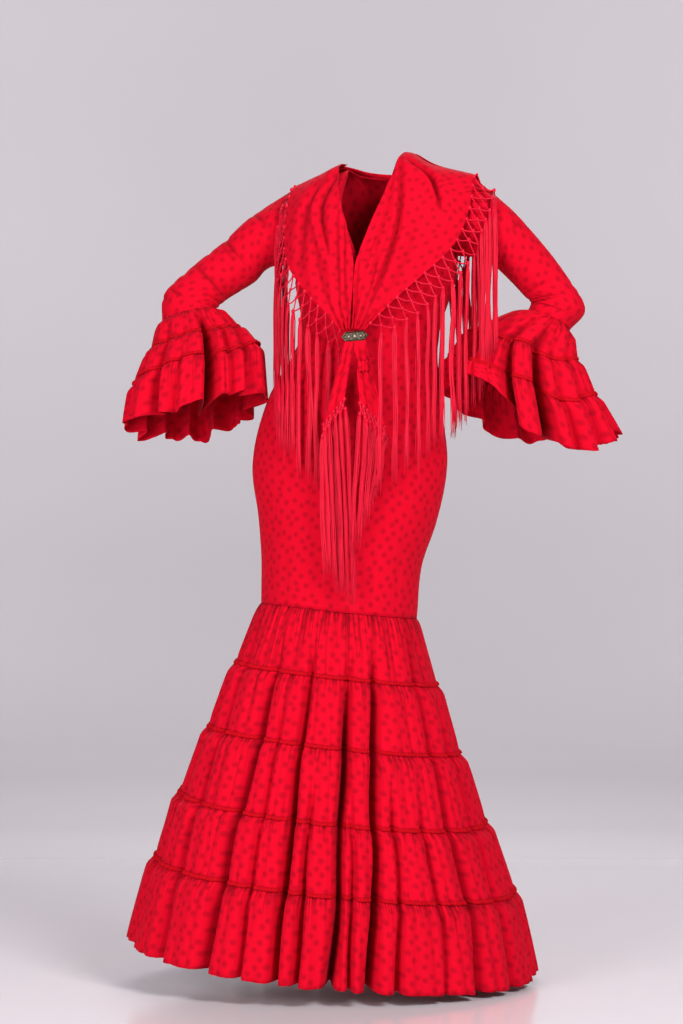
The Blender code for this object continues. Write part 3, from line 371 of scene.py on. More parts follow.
class StageSettings(bpy.types.PropertyGroup):
    """Camera and lights."""
    lens: bpy.props.FloatProperty(
        name="Lens", description="Focal length of the camera", default=112.5, unit="CAMERA")
    distance: bpy.props.FloatProperty(
        name="Camera distance", description="From the camera to the dress", default=6.0,
        unit="LENGTH")
    key_power: bpy.props.FloatProperty(
        name="Key light", description="Power of the large front light", default=312.0,
        unit="POWER")
    fill_power: bpy.props.FloatProperty(
        name="Fill light", description="Power of the fill light", default=205.0, unit="POWER")
    wall_power: bpy.props.FloatProperty(
        name="Wall lights", description="Power of each light on the back wall",
        default=184.0, unit="POWER")
    back_power: bpy.props.FloatProperty(
        name="Back light", description="Power of the light behind the dress",
        default=170.0, unit="POWER")
    sky: bpy.props.FloatProperty(
        name="Studio light", description="Strength of the even light from all round",
        default=0.24)
    floor_height: bpy.props.FloatProperty(
        name="Floor height", description="Level of the floor under the shoulders",
        default=-1.500, unit="LENGTH")


# ---------------------------------------------------------------- curves and rings
def spline(values, places, at):
    """Smooth curve (Catmull-Rom) through values known at rising places, read at at."""
    places = np.asarray(places, float)
    values = np.asarray(values, float)
    at = np.clip(np.asarray(at, float), places[0], places[-1])
    slopes = np.gradient(values, places, axis=0)
    step = np.clip(np.searchsorted(places, at, side="right") - 1, 0, len(places) - 2)
    width = places[step + 1] - places[step]
    share = (at - places[step]) / width
    spare = (1,) * (values.ndim - 1)
    width = width.reshape(width.shape + spare)
    share = share.reshape(share.shape + spare)
    rise = share * share * (3 - 2 * share)
    return (values[step] * (1 - rise) + values[step + 1] * rise
            + slopes[step] * width * share * (1 - share) ** 2
            - slopes[step + 1] * width * share * share * (1 - share))


def ease(value, low, high):
    """Smooth step: 0 below low, 1 above high, a cubic between them."""
    share = np.clip((value - low) / (high - low), 0, 1)
    return share * share * (3 - 2 * share)


def steps_of(points, axis):
    """Distances between neighbouring points along an axis of a grid."""
    return np.linalg.norm(np.diff(points, axis=axis), axis=-1)


def bell(apart, power=2):
    """Bell of a distance: 1 in its middle, and squarer the higher the power."""
    return np.exp(-np.abs(apart) ** power)


def degrees_from(middle, angle):
    """Degrees from a middle to an angle in radians, at most half a turn either way."""
    return (np.degrees(angle) - middle + 180) % 360 - 180


def between(first, last, share):
    """Value part of the way from the first to the last."""
    return first + (last - first) * share


def full_turn(count, start=0.0):
    """Even angles round a full turn, without its last one, which is the first again."""
    return np.linspace(start, start + 2 * math.pi, count, endpoint=False)


def unit(vectors):
    """Vectors scaled to a length of one."""
    return vectors / np.maximum(np.linalg.norm(vectors, axis=-1, keepdims=True), 1e-12)


def body_columns(z):
    """Every column of the BODY table at the heights z."""
    table = np.array(BODY)
    return spline(table, table[:, 0], z)


def turned(level, across, forward, z):
    """Points at a place across and forward in the frame that a table row turns."""
    turn = np.radians(level[..., 6])
    x = level[..., 1] + across * np.cos(turn) - forward * np.sin(turn)
    y = level[..., 2] - across * np.sin(turn) - forward * np.cos(turn)
    return np.stack([x, y, z], axis=-1)


def to_world(across, forward, z):
    """Points given in the body's own frame, which turns and leans as it rises."""
    across, forward, z = np.broadcast_arrays(across, forward, z)
    level = body_columns(z)
    return turned(level, across, forward, z + across * np.tan(np.radians(level[..., 7])))


def to_body(points):
    """Table row at each point's height, and its place across and forward in that frame."""
    level = body_columns(points[..., 2])
    turn = np.radians(level[..., 6])
    dx, dy = points[..., 0] - level[..., 1], points[..., 1] - level[..., 2]
    return (level, dx * np.cos(turn) - dy * np.sin(turn),
            -dx * np.sin(turn) - dy * np.cos(turn))


def push_out(points, clear):
    """Points moved sideways until they lie outside the dress's body by a clearance."""
    level, across, forward = to_body(points)
    depth = np.where(forward > 0, level[..., 4], level[..., 5])
    reach = np.hypot(across / (level[..., 3] + clear), forward / (depth + clear))
    grow = 1.0 / np.clip(reach, 0.05, 1.0)
    grow = 1.0 + (grow - 1.0) * np.clip((PUSH_TOP - points[..., 2]) / PUSH_FADE, 0, 1)
    return turned(level, across * grow, forward * grow, points[..., 2])


def slow_wave(angle, seed, low, high):
    """Uneven wave round a ring: cosines of whole numbers of turns from low to high, each
    with its own phase and a smaller share the faster it turns, scaled to reach 1."""
    random = np.random.default_rng(seed)
    turns = np.arange(low, high + 1)
    phases = random.uniform(0, 2 * math.pi, len(turns))
    weights = random.uniform(0.5, 1.0, len(turns)) / np.sqrt(turns)
    wave = (weights[:, None] * np.cos(turns[:, None] * angle[None, :] + phases[:, None])).sum(0)
    return wave / np.abs(wave).max()


def ridges(angle, count, seed):
    """Rounded ridges between narrow valleys: the size of a sine of half the count, bent
    along the ring so that no two ridges are equally wide, and of uneven heights."""
    bend = slow_wave(angle, seed, 2, max(5, count // 6)) * 5.5 / count
    ridge = np.abs(np.sin(0.5 * count * (angle + bend))) ** 0.6
    height = 0.62 + 0.38 * slow_wave(angle, seed + 1, 3, max(8, count // 3))
    return (ridge - 0.72) * height


def flute_profile(flutes, angle):
    """How far the long folds move the cloth in or out.

    Each fold is a smooth valley: its depth times a bell of the angle from its middle.
    The mean is taken out, so that the ridges between the valleys stand out.
    """
    profile = -sum(flute.depth * bell(degrees_from(flute.angle, angle) / flute.half_angle, 2.2)
                   for flute in flutes)
    return profile - profile.mean()


def row_between(upper, lower, share):
    """Table row part of the way from one row to the next, for an array of shares."""
    return type(upper)(*(between(a, b, share) for a, b in zip(upper, lower)))


def skirt_ring(ring, angle, grow):
    """Ellipse of one skirt ring, grown outwards, leaning by its roll and lower in front."""
    across = (ring.half_width + grow) * np.sin(angle)
    forward = (ring.half_depth + grow) * np.cos(angle)
    front = np.sqrt(np.clip(np.cos(angle), 0, 1))
    z = ring.z + across * np.tan(np.radians(ring.roll)) - ring.front_drop * front
    return np.stack([ring.x + across, ring.y - forward + 0 * z, z], axis=-1)


def valley_profile(number, angle):
    """How far the skirt's long folds move the cloth in, beside the deepest.

    number is the seam, or a place between two seams.  Each fold is a narrow bell inside a
    wider and shallower one, at an angle that drifts and wavers from the first braid to the
    hem, and deeper in some tiers than in others.
    """
    number, angle = np.broadcast_arrays(number, angle)
    radius = np.interp(number, np.arange(len(SKIRT)), [ring.half_width for ring in SKIRT])
    profile = np.zeros_like(angle)
    for valley in SKIRT_VALLEYS:
        middle = valley.top + (valley.bottom - valley.top) * (number - 1) / 4
        middle = middle + 0.35 * np.sin(math.pi * number + valley.top)
        apart = np.radians(degrees_from(middle, angle)) * radius / valley.half_width
        starts = ease(number, valley.start - 0.9, valley.start + 0.3)
        starts = starts * (0.86 + 0.14 * np.cos(1.9 * number + 3 * valley.top))
        profile -= valley.depth * starts * (0.72 * bell(apart) + 0.18 * bell(apart / 2.8))
    return profile + 0.20


def seam_ripple(number, angle):
    """Small ripple of the skirt's seam number."""
    return ridges(angle, 44 + 6 * number, 40 + number) * SKIRT[number].ripple * 2


def gathered(share, fade, seams, fine, middle, puff, rise, tuck, last):
    """How far a gathered sheet lies out beside its long folds, down its share.

    seams are the ripples of its two seams, fine its small gathers, which rise at the seam
    and fade out, and middle its wider folds, which start a little lower and run on down.
    puff is a swell just under the seam, with the share where it is reached, and tuck a
    small step in at the seam.
    """
    top, bottom = (seam[None] for seam in seams)
    close = 1.0 if last else 1 - 0.75 * ease(share, 0.80, 1.0)
    return (between(top, bottom, share)
            + puff[0] * ease(share, 0.0, puff[1]) * (1 - share) ** 0.8
            - tuck * (1 - ease(share, 0.0, 0.05))
            + fine[None] * ease(share, -0.04, rise) * np.exp(-share / fade)
            + middle[None] * ease(share, 0.02, 0.30) * close)


def tier_surface(number, gather_height):
    """Grid of one gathered tier, how strongly its fine gathers show as bump and painted shade,
    and the painted shade in its deep folds at each point.  Round the ring it is the seam's
    ellipse, grown by the long folds and the gathers."""
    angle = full_turn(TIER_COLUMNS, -math.pi)
    share = np.linspace(0, 1, TIER_ROWS)[:, None] ** 1.3
    upper, lower = SKIRT[number], SKIRT[number + 1]
    ring = row_between(upper, lower, share)
    girth = math.pi * (upper.half_width + upper.half_depth)
    seed = 100 + 10 * number
    fine = ridges(angle, int(girth / GATHER_PITCH), seed) * gather_height * 2
    middle = ridges(angle, int(girth / FOLD_PITCH), seed + 3) * MIDDLE_FOLD
    uneven = 0.5 + 0.5 * slow_wave(angle, seed + 5, 6, 60)[None]
    fade = GATHER_FADES[number] * (0.30 + 1.7 * uneven ** 2)
    last = number == len(SKIRT) - 2
    seams = [seam_ripple(i, angle) for i in (number, number + 1)]
    valleys = valley_profile(number + share, angle[None])
    long = valleys * ring.fold
    grow = long + gathered(share, fade, seams, fine, middle, (TIER_PUFFS[number], 0.16),
                           0.07, 0.0012, last)
    grid = skirt_ring(ring, angle[None], grow)
    if last:
        wave = long[-1] / lower.fold + 0.5 * ridges(angle, 40, seed + 3)
        grid[..., 2] -= HEM_WAVE * wave[None] * ease(share, 0.3, 1.0)
    # Painted shade: the cloth is darkened in the deep valleys of the long folds.
    deep = np.clip(-valleys - 0.30, 0, 1)
    return grid, np.exp(-share / (fade * 1.5)), 0.75 * deep * ease(number + share, 0.3, 2.4)


def cuff_ring(cuff, angle, grow, lifts=(), place=0.0):
    """Ellipse of one sleeve section, grown outwards: 0 is the outer side, 90 the front.

    Its two axes lean by turn and tip, and sag lowers the front and back.  Each lift raises
    the lobe at its angle by a flat-topped bell, as far as the place between the ruffles'
    seams says.
    """
    turn, tip = np.radians(cuff.turn), np.radians(cuff.tip)
    zero = np.zeros_like(turn)
    outer = np.stack([np.cos(turn), zero, np.sin(turn)], axis=-1)
    up = np.stack([-np.sin(turn), zero, np.cos(turn)], axis=-1)
    up = up * np.where(up[..., 2:3] < 0, -1.0, 1.0)
    front = (np.stack([zero, -np.cos(tip), zero], axis=-1)
             + up * np.sin(tip)[..., None])
    centre = np.stack(np.broadcast_arrays(cuff.x, cuff.y, cuff.z), axis=-1)
    wide = (cuff.half_across + grow) * np.cos(angle)
    deep = (cuff.half_deep + grow) * np.sin(angle)
    points = centre + outer * wide[..., None] + front * deep[..., None]
    points[..., 2] -= cuff.sag * np.sin(angle) ** 2
    for lift in lifts:
        rise = np.interp(place, (0, 1, 2, 3), (0, lift.first, lift.second, lift.hem))
        points[..., 2] += rise * bell(degrees_from(lift.angle, angle) / lift.half_angle, 4)
    return points


def ruffle_seam(arm, number, angle):
    """How far a ruffle's cloth lies out along its seam number."""
    return (flute_profile(arm.flutes, angle) * RUFFLE_FLUTE_DEPTHS[number]
            + ridges(angle, 16 + 3 * number, arm.seed + number)
            * RUFFLE_RIPPLES[number] * 2)


def ruffle_surface(arm, number):
    """Grid of one sleeve ruffle, how strongly its gathers show as bump and painted shade, and
    the painted shade in its deep folds, made as a skirt tier is, on the sleeve's own sections."""
    angle = full_turn(RUFFLE_COLUMNS, -math.pi / 2)
    share = np.linspace(0, 1, RUFFLE_ROWS)[:, None] ** 1.3
    upper, lower = arm.ruffles[number], arm.ruffles[number + 1]
    girth = math.pi * (upper.half_across + upper.half_deep)
    fine = ridges(angle, int(girth / RUFFLE_GATHER_PITCH), arm.seed + 20 + number)
    middle = ridges(angle, int(girth / RUFFLE_FOLD_PITCH) + 2, arm.seed + 30 + number)
    fade = 0.11 + 0.22 * (0.5 + 0.5 * slow_wave(angle, arm.seed + 50 + number, 3, 24))[None]
    last = number == len(arm.ruffles) - 2
    seams = [ruffle_seam(arm, i, angle) for i in (number, number + 1)]
    grow = gathered(share, fade, seams, fine * RUFFLE_GATHER, middle * RUFFLE_FOLD,
                    (RUFFLE_PUFF, 0.2), 0.08, 0.0008, last)
    grid = cuff_ring(row_between(upper, lower, share), np.broadcast_to(angle, grow.shape),
                     grow, arm.lifts, number + share)
    flutes = flute_profile(arm.flutes, angle)[None]
    if last:
        grid[..., 2] -= 0.5 * HEM_WAVE * flutes * ease(share, 0.3, 1)
    # Painted shade: the cloth is darkened in the deep valleys of the ruffle's long folds.
    deep = np.clip((-flutes - 0.25) / 1.6, 0, 1)
    return grid, np.exp(-share / (fade * 1.3)), 0.8 * deep * ease(number + share, 0.0, 0.8)


# ---------------------------------------------------------------- fitted body and sleeves
def armhole_half(side):
    """Armhole from the armpit to the shoulder tip, in the body's frame: a smooth curve
    through the armpit, the notch, the upper armhole and the tip of the shoulder."""
    deep = (0.0, 0.046 if side > 0 else 0.044, 0.040, 0.0)
    across = (0.149, 0.145, 0.154, SHOULDER_TIP)
    height = (ARMPIT_HEIGHT, -0.108, -0.045, SHOULDER_HEIGHT - SHOULDER_SLOPE * SHOULDER_TIP)
    knots = np.array([across, np.array(deep) * side, height]).T
    return spline(knots, (0.0, 0.32, 0.68, 1.0), np.linspace(0, 1, ARMHOLE_COLUMNS + 1))


def top_edge_half(side):
    """Top edge of a body panel from the armpit over the shoulder to the middle."""
    armhole = armhole_half(side)
    share = np.linspace(0, 1, SHOULDER_COLUMNS + 1)[1:]
    across = between(SHOULDER_TIP, NECK_HALF_WIDTH, share)
    shoulder = np.stack([across, np.zeros_like(across),
                         SHOULDER_HEIGHT - SHOULDER_SLOPE * across], axis=-1)
    share = np.linspace(0, 1, NECK_COLUMNS + 1)[1:]
    lower = (((0.050, 0.085, -0.055), (0.0, 0.129, -0.158)) if side > 0
             else ((0.042, -0.034, 0.012), (0.0, -0.046, 0.006)))
    neck = spline((shoulder[-1], *lower), (0.0, 0.5, 1.0), share)
    return np.concatenate([armhole, shoulder, neck])


def body_surface(side):
    """Grid of the front (+1) or back (-1) panel, from the knee seam to its top edge.

    Below the chest each row is half an ellipse of the BODY table.  Above it every column
    rises on a cubic curve to its own place on the top edge.
    """
    half = top_edge_half(side)
    top = np.concatenate([half, half[-2::-1] * np.array([-1.0, 1.0, 1.0])])
    columns = len(top)
    angle = np.linspace(0, math.pi, columns)[None]
    z = np.linspace(BODY[0].z, CHEST_LEVEL, BODY_ROWS)[:, None]
    level = body_columns(z[:, 0])
    depth = level[:, 4:5] if side > 0 else level[:, 5:6]
    across = level[:, 3:4] * np.cos(angle)
    forward = side * depth * np.sin(angle)
    lower = to_world(across, forward, z)
    start = np.stack([across[-1], forward[-1], np.full(columns, CHEST_LEVEL)], axis=-1)
    climb = (top[:, 2] - start[:, 2])[:, None] * np.array([0.0, 0.0, 1.0])
    first = start + 0.45 * climb
    second = top - 0.10 * climb
    second[:, 0] += 0.50 * (start[:, 0] - top[:, 0])
    second[:, 1] = top[:, 1] + 0.80 * (start[:, 1] - top[:, 1])
    share = np.linspace(0, 1, CHEST_ROWS)[1:, None, None]
    rest = 1 - share
    local = (start * rest ** 3 + first * 3 * rest ** 2 * share
             + second * 3 * rest * share ** 2 + top * share ** 3)
    upper = to_world(local[..., 0], local[..., 1], local[..., 2])
    return np.concatenate([lower, upper])


def trough_depth(along, across, creases):
    """Sum of soft troughs: each is its depth times a bell along and a bell across, with
    its middle line slanting by lean."""
    total = np.zeros(np.broadcast(along, across).shape)
    for crease in creases:
        aside = across - crease.across
        apart = along - crease.along - crease.lean * aside
        total += crease.depth * (bell(apart / crease.half_along)
                                 * bell(aside / crease.half_across))
    return total


def surface_normals(grid, closed=False):
    """Unit normals of a grid: the cross product of its two directions."""
    along = (np.roll(grid, -1, axis=1) - np.roll(grid, 1, axis=1) if closed
             else np.gradient(grid, axis=1))
    return unit(np.cross(along, np.gradient(grid, axis=0)))


def facing(grid, toward):
    """Unit normals of a grid, turned to the front (-1) or back (+1)."""
    normals = surface_normals(grid)
    return normals * np.where(normals[..., 1:2] * toward < 0, -1.0, 1.0)


def sleeve_surface(arm):
    """Grid of a sleeve: the armhole's own points, then the sections down to the elbow,
    joined by smooth curves, with troughs sunk along the normals.  Column 0 is the armpit.
    The second result is the painted shade along the sharp tucks: how far each point lies in one.
    """
    loop = np.concatenate([armhole_half(1)[::-1], armhole_half(-1)[1:-1]])
    loop[:, 0] = arm.hand * (loop[:, 0] + ARMHOLE_GAP)
    first = to_world(loop[:, 0], loop[:, 1], loop[:, 2])
    angle = full_turn(len(loop))
    rings = [first] + [cuff_ring(cuff, angle, 0.0) for cuff in arm.sleeve]
    knots = np.arange(len(rings), dtype=float)
    grid = spline(rings, knots, np.linspace(0, knots[-1], SLEEVE_ROWS))
    grid = np.roll(grid, len(loop) // 2, axis=1)
    along = np.linspace(0, 1, SLEEVE_ROWS)[:, None]
    around = np.linspace(0, 1, len(loop), endpoint=False)[None]
    hold = ease(along, 0.0, 0.08) * (1 - ease(along, 0.92, 1.0))
    outward = surface_normals(grid, closed=True)
    centre = grid.mean(axis=1, keepdims=True)
    outward = outward * np.sign(np.sum(outward * (grid - centre), axis=-1, keepdims=True))
    sharp = trough_depth(along, around, arm.tucks)
    depth = trough_depth(along, around, arm.creases) + sharp
    # The second result is painted shade, as strong as the tuck is deep.
    return grid - outward * (depth * hold)[..., None], np.clip(sharp / TUCK_DEPTH, 0, 1) * hold


# ---------------------------------------------------------------- shawl surfaces
def shawl_depth(across, z, fullest):
    """How far forward or back the shawl lies: across it is an ellipse, and above the chest
    it closes over the shoulder as a rounded quarter whose top is the shoulder line."""
    wide = fullest * np.sqrt(np.clip(1 - (across / SHAWL_HALF_WIDTH) ** 2, 0.03, 1))
    rise = SHAWL_REST + SHAWL_RISE * np.clip(1 - (across / SHOULDER_TIP) ** 2, 0, 1)
    top = SHOULDER_HEIGHT + rise - SHOULDER_SLOPE * np.abs(across)
    climb = np.clip((z - SHAWL_CHEST) / (top - SHAWL_CHEST), 0, 1)
    return wide * np.clip(1 - climb ** SHAWL_ROUND, 0, 1) ** (1 / SHAWL_ROUND)


def lay_on_shawl(across, z, side):
    """Points of the shawl's front (+1) or back (-1) at places across and heights."""
    fullest = SHAWL_FRONT if side > 0 else SHAWL_BACK
    forward = side * (shawl_depth(across, z, fullest) + SHAWL_EASE)
    return push_out(to_world(across, forward, z), SHAWL_CLEAR)


def fold_depth(grid, folds):
    """How deep each point lies in the folds seen from the front or back.

    A fold's middle line is a curve through its three places.  On the line the cloth sinks
    by a narrow bell.  On its right it rises again in a wider bell, as a fold that lies over
    the cloth beside it, and both fade at the fold's ends.  The second result is the painted
    shade along a fold's own line, stronger the deeper the fold.
    """
    flat = grid[..., [0, 2]].reshape(-1, 2)
    total, creases = np.zeros((2, len(flat)))
    share = np.linspace(0, 1, 181)
    for fold in folds:
        knots = np.reshape(fold[:6], (3, 2))
        line = spline(knots, (0.0, 0.5, 1.0), share)
        ahead = unit(np.gradient(line, axis=0))
        apart = flat[:, None, :] - line[None]
        nearest = np.hypot(apart[..., 0], apart[..., 1]).argmin(axis=1)
        offset = apart[np.arange(len(flat)), nearest]
        side = np.sign(offset[:, 0] * ahead[nearest, 1] - offset[:, 1] * ahead[nearest, 0])
        signed = side * np.hypot(offset[:, 0], offset[:, 1]) / fold.half_width
        fade = np.sin(math.pi * np.clip(share[nearest] * 0.90 + 0.05, 0, 1)) ** 0.6
        total += fold.depth * fade * (bell(signed, 1.6) - 0.55 * bell((signed - 1.9) / 1.2)
                                      - 0.18 * bell((signed + 2.2) / 1.6))
        # Painted shade on the fold's own line, stronger the deeper the fold.
        painted_shade = min(fold.depth / 0.010, 1.3) * fade * bell(signed / 0.62)
        creases = np.maximum(creases, painted_shade)
    return total.reshape(grid.shape[:2]), creases.reshape(grid.shape[:2])


def collar_lift(across, fall):
    """How much higher than its rest the shawl stands beside the neck: a bell round the
    neck's side, higher on the wearer's left, that fades with the share fallen from the top."""
    reach = np.where(across > 0, COLLAR_STAND[1], COLLAR_STAND[0])
    shape = bell((np.abs(across) - COLLAR_AT) / COLLAR_HALF_WIDTH)
    return reach * shape * (1 - ease(fall, 0, 0.3))


def shawl_front_surface(hand):
    """Grid of one front side of the shawl, from its neck edge to its fringed edge, and the
    painted shade along its folds.
    """
    table = np.array(SHAWL_FRONT_EDGES)
    row = spline(table[:, 1:], table[:, 0], np.linspace(0, 1, SHAWL_ROWS))
    share = np.linspace(0, 1, SHAWL_COLUMNS)[None, :]
    down = np.linspace(0, 1, SHAWL_ROWS)[:, None]
    slip = SHAWL_SHIFT[hand > 0] * (1 - ease(down, 0.25, 0.80))
    across = between(row[:, 0:1], row[:, 2:3] + slip, share)
    low = row[:, 3:4] - SHOULDER_SLOPE * slip * (1 - ease(down, 0.0, 0.25))
    z = between(row[:, 1:2], low, share)
    grid = lay_on_shawl(hand * across, z, 1)
    outward = facing(grid, -1)
    grid[..., 2] += collar_lift(hand * across, down)
    hold = ease(down, 0.0, 0.06)
    fan = np.cos(share * 7 * math.pi + hand) * 0.0030 * ease(down, 0.72, 1.0)
    depth, creases = fold_depth(grid, SHAWL_FOLDS)
    return grid - outward * (depth * hold - fan)[..., None], creases


def shawl_back_surface():
    """Grid of the shawl's back, from its neck and shoulder line to the triangle's edge, and the
    painted shade along its folds.
    """
    table = np.array(SHAWL_BACK_EDGES)
    across = np.linspace(-table[-1, 0], table[-1, 0], 2 * BACK_HALF_COLUMNS + 1)
    edges = spline(table[:, 1:], table[:, 0], np.abs(across))
    share = np.linspace(0, 1, BACK_ROWS)[:, None]
    slip = (np.where(across > 0, SHAWL_SHIFT[1], SHAWL_SHIFT[0])
            * ease(np.abs(across), 0.062, table[-1, 0]))
    edges[:, 0] -= SHOULDER_SLOPE * slip
    across = across + slip * np.sign(across)
    z = between(edges[None, :, 0], edges[None, :, 1], share)
    grid = lay_on_shawl(np.broadcast_to(across, z.shape), z, -1)
    outward = facing(grid, 1)
    grid[..., 2] += collar_lift(across[None], share)
    hold = ease(share, 0.0, 0.08)
    depth, creases = fold_depth(grid, SHAWL_BACK_FOLDS)
    return grid - outward * (depth * hold)[..., None], creases


def clasp_underside(x):
    """Points just under the clasp's lower side at the places x."""
    along = np.asarray(x) - CLASP_PLACE[0]
    y = CLASP_PLACE[1] + along * math.tan(math.radians(CLASP_SWING))
    z = (CLASP_PLACE[2] + along * math.tan(math.radians(CLASP_RISE))
         - CLASP_WIDTH / 2 - CLASP_GAP)
    return np.stack([x, y, z], axis=-1)


def tail_surface(number, rows=60, columns=40):
    """Grid of one tail: straight lines from just under the clasp to its slanted low edge,
    with folds along it that are deepest at the clasp and open out below.  The second tail
    is pinched where a band of its own cloth is wound round it."""
    tail = TAILS[number]
    share = np.linspace(0, 1, rows)[:, None, None]
    side = np.linspace(-1, 1, columns)
    top = clasp_underside(tail.top_x + tail.top_half * side)
    low_x = tail.low_x + tail.low_half * side
    inner = 0.5 + 0.5 * side if number == 0 else 0.5 - 0.5 * side
    low = np.stack([low_x, np.full_like(low_x, TAIL_Y), tail.low_z + tail.inner_rise * inner],
                   axis=-1)
    low = clear_body(low, tail.clear, -1)
    grid = between(top, low, share)
    if number == 1:
        pinch = 0.42 * bell((share - BAND_AT) / 0.09)
        middle = grid.mean(axis=1, keepdims=True)
        grid[..., 0:1] += (middle - grid)[..., 0:1] * pinch
    fold = np.abs(np.sin(side * 2.9 + number)) ** 0.6
    depth = 0.0085 * ease(share[..., 0], 0.0, 0.15) * (1 - 0.35 * share[..., 0])
    grid[..., 1] -= (fold[None] - 0.6) * depth
    return grid


# ---------------------------------------------------------------- mesh helpers
def quads_of(rows, columns, closed, flipped):
    """Corner numbers of a grid's quads, joining the last column to the first if closed."""
    spans = columns if closed else columns - 1
    row = np.arange(rows - 1)[:, None]
    column = np.arange(spans)[None, :]
    after = (column + 1) % columns
    quads = np.stack(np.broadcast_arrays(row * columns + column, row * columns + after,
                                         (row + 1) * columns + after,
                                         (row + 1) * columns + column), axis=-1)
    quads = quads.reshape(-1, 4)
    return quads[:, ::-1] if flipped else quads


def corner_uvs(uv, flipped):
    """Map places of every quad corner, from a grid of them one column wider than the quads."""
    corners = np.stack([uv[:-1, :-1], uv[:-1, 1:], uv[1:, 1:], uv[1:, :-1]], axis=2)
    corners = corners.reshape(-1, 4, 2)
    return corners[:, ::-1] if flipped else corners


def mesh_piece(name, points, faces, material, uvs=None):
    """Mesh object of points and faces, shaded smooth, with a map if one is given."""
    mesh = bpy.data.meshes.new(name)
    faces = faces.tolist() if isinstance(faces, np.ndarray) else faces
    mesh.from_pydata(np.asarray(points, float).reshape(-1, 3).tolist(), [], faces)
    if uvs is not None:
        layer = mesh.uv_layers.new(name="cloth")
        layer.data.foreach_set("uv", np.ascontiguousarray(uvs, np.float32).ravel())
    mesh.materials.append(material)
    mesh.shade_smooth()
    mesh.update()
    piece = bpy.data.objects.new(name, mesh)
    bpy.context.scene.collection.objects.link(piece)
    return piece


def length_map(grid, closed, gathered):
    """Map of a cloth grid in metres, one column wider than its quads.

    Down the cloth it is the mean length of the columns.  Across it is the length along
    each row from the middle, or, on a gathered ring, the mean length of its rows without
    their folds: the rows keep only their three slowest waves.
    """
    if gathered:
        waves = np.fft.rfft(grid, axis=1)
        waves[:, 4:] = 0
        grid = np.fft.irfft(waves, grid.shape[1], axis=1)
    wide = np.concatenate([grid, grid[:, :1]], axis=1) if closed else grid
    steps = steps_of(wide, 1)
    along = np.concatenate([np.zeros((len(grid), 1)), np.cumsum(steps, axis=1)], axis=1)
    if gathered:
        along = along.mean(axis=0, keepdims=True) * GATHERED_WIDTH
        along = np.broadcast_to(along, (len(grid), along.shape[1]))
    along = along - along[:, along.shape[1] // 2][:, None]
    falls = steps_of(grid, 0).mean(axis=1)
    down = -np.concatenate([[0.0], np.cumsum(falls)])
    return np.stack(np.broadcast_arrays(along, down[:, None]), axis=-1)


def cloth_piece(name, grid, material, closed=False, flipped=False, gathers=None,
                creases=None, thickness=0.001, offset=(0.0, 0.0)):
    """Cloth piece of a grid, with its map and a thin wall on its inner side.  gathers says
    how strongly the fine gathers show at each point of a gathered ring, as bump and painted
    shade, and creases how much painted shade the point gets in a deep fold or sharp tuck."""
    rows, columns = grid.shape[:2]
    uv = length_map(grid, closed, gathers is not None) + np.array(offset)
    piece = mesh_piece(name, grid, quads_of(rows, columns, closed, flipped), material,
                       corner_uvs(uv, flipped))
    for word, values in (("gathers", gathers), ("creases", creases)):
        if values is not None:
            shown = piece.data.attributes.new(word, "FLOAT", "POINT")
            shown.data.foreach_set("value", np.ascontiguousarray(values, np.float32).ravel())
    wall = piece.modifiers.new("wall", "SOLIDIFY")
    wall.thickness = thickness
    wall.offset = -1.0
    wall.use_even_offset = False
    return piece


def seat(piece, slot, *nodes):
    """Ride the piece on the dress and let it stand for its nodes; slot is not used."""
    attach(piece, "root")
    if nodes:
        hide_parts(*nodes)


# ---------------------------------------------------------------- materials
def node(tree, kind, inputs=(), **settings):
    """New shader node with its settings, its inputs linked to sockets or set to values."""
    made = tree.nodes.new("ShaderNode" + kind)
    for name, value in settings.items():
        setattr(made, name, value)
    for name, value in dict(inputs).items():
        if isinstance(value, bpy.types.NodeSocket):
            tree.links.new(value, made.inputs[name])
        else:
            made.inputs[name].default_value = value
    return made


def math_node(tree, operation, *values):
    """Math node whose inputs are sockets or numbers; gives its output."""
    values = (*values, 0.0, 0.0)[:3]
    return node(tree, "Math", enumerate(values), operation=operation).outputs[0]


def colour_mix(tree, share, first, second):
    """Mix of two colours, which are sockets or plain colours; gives its output."""
    return node(tree, "Mix", {0: share, 6: first, 7: second}, data_type="RGBA").outputs[2]


def noise(tree, place, scale, detail=2.0, **settings):
    """Noise at a place; gives its value."""
    inputs = {"Vector": place, "Scale": scale, "Detail": detail}
    return node(tree, "TexNoise", inputs, **settings).outputs["Fac"]


def stretched(tree, place, **inputs):
    """Place turned or scaled by a mapping; gives its vector."""
    return node(tree, "Mapping", {"Vector": place, **inputs}).outputs["Vector"]


def node_group(name, numbers, outputs):
    """Shader node group on the cloth's map with further inputs, given with their values,
    and outputs, all of them numbers.  Gives the group, its inputs and its outputs."""
    group = bpy.data.node_groups.new(name, "ShaderNodeTree")
    group.interface.new_socket("Map", in_out="INPUT", socket_type="NodeSocketVector")
    for label, value in numbers.items():
        group.interface.new_socket(label, in_out="INPUT",
                                   socket_type="NodeSocketFloat").default_value = value
    for label in outputs:
        group.interface.new_socket(label, in_out="OUTPUT", socket_type="NodeSocketFloat")
    return (group, group.nodes.new("NodeGroupInput").outputs,
            group.nodes.new("NodeGroupOutput").inputs)


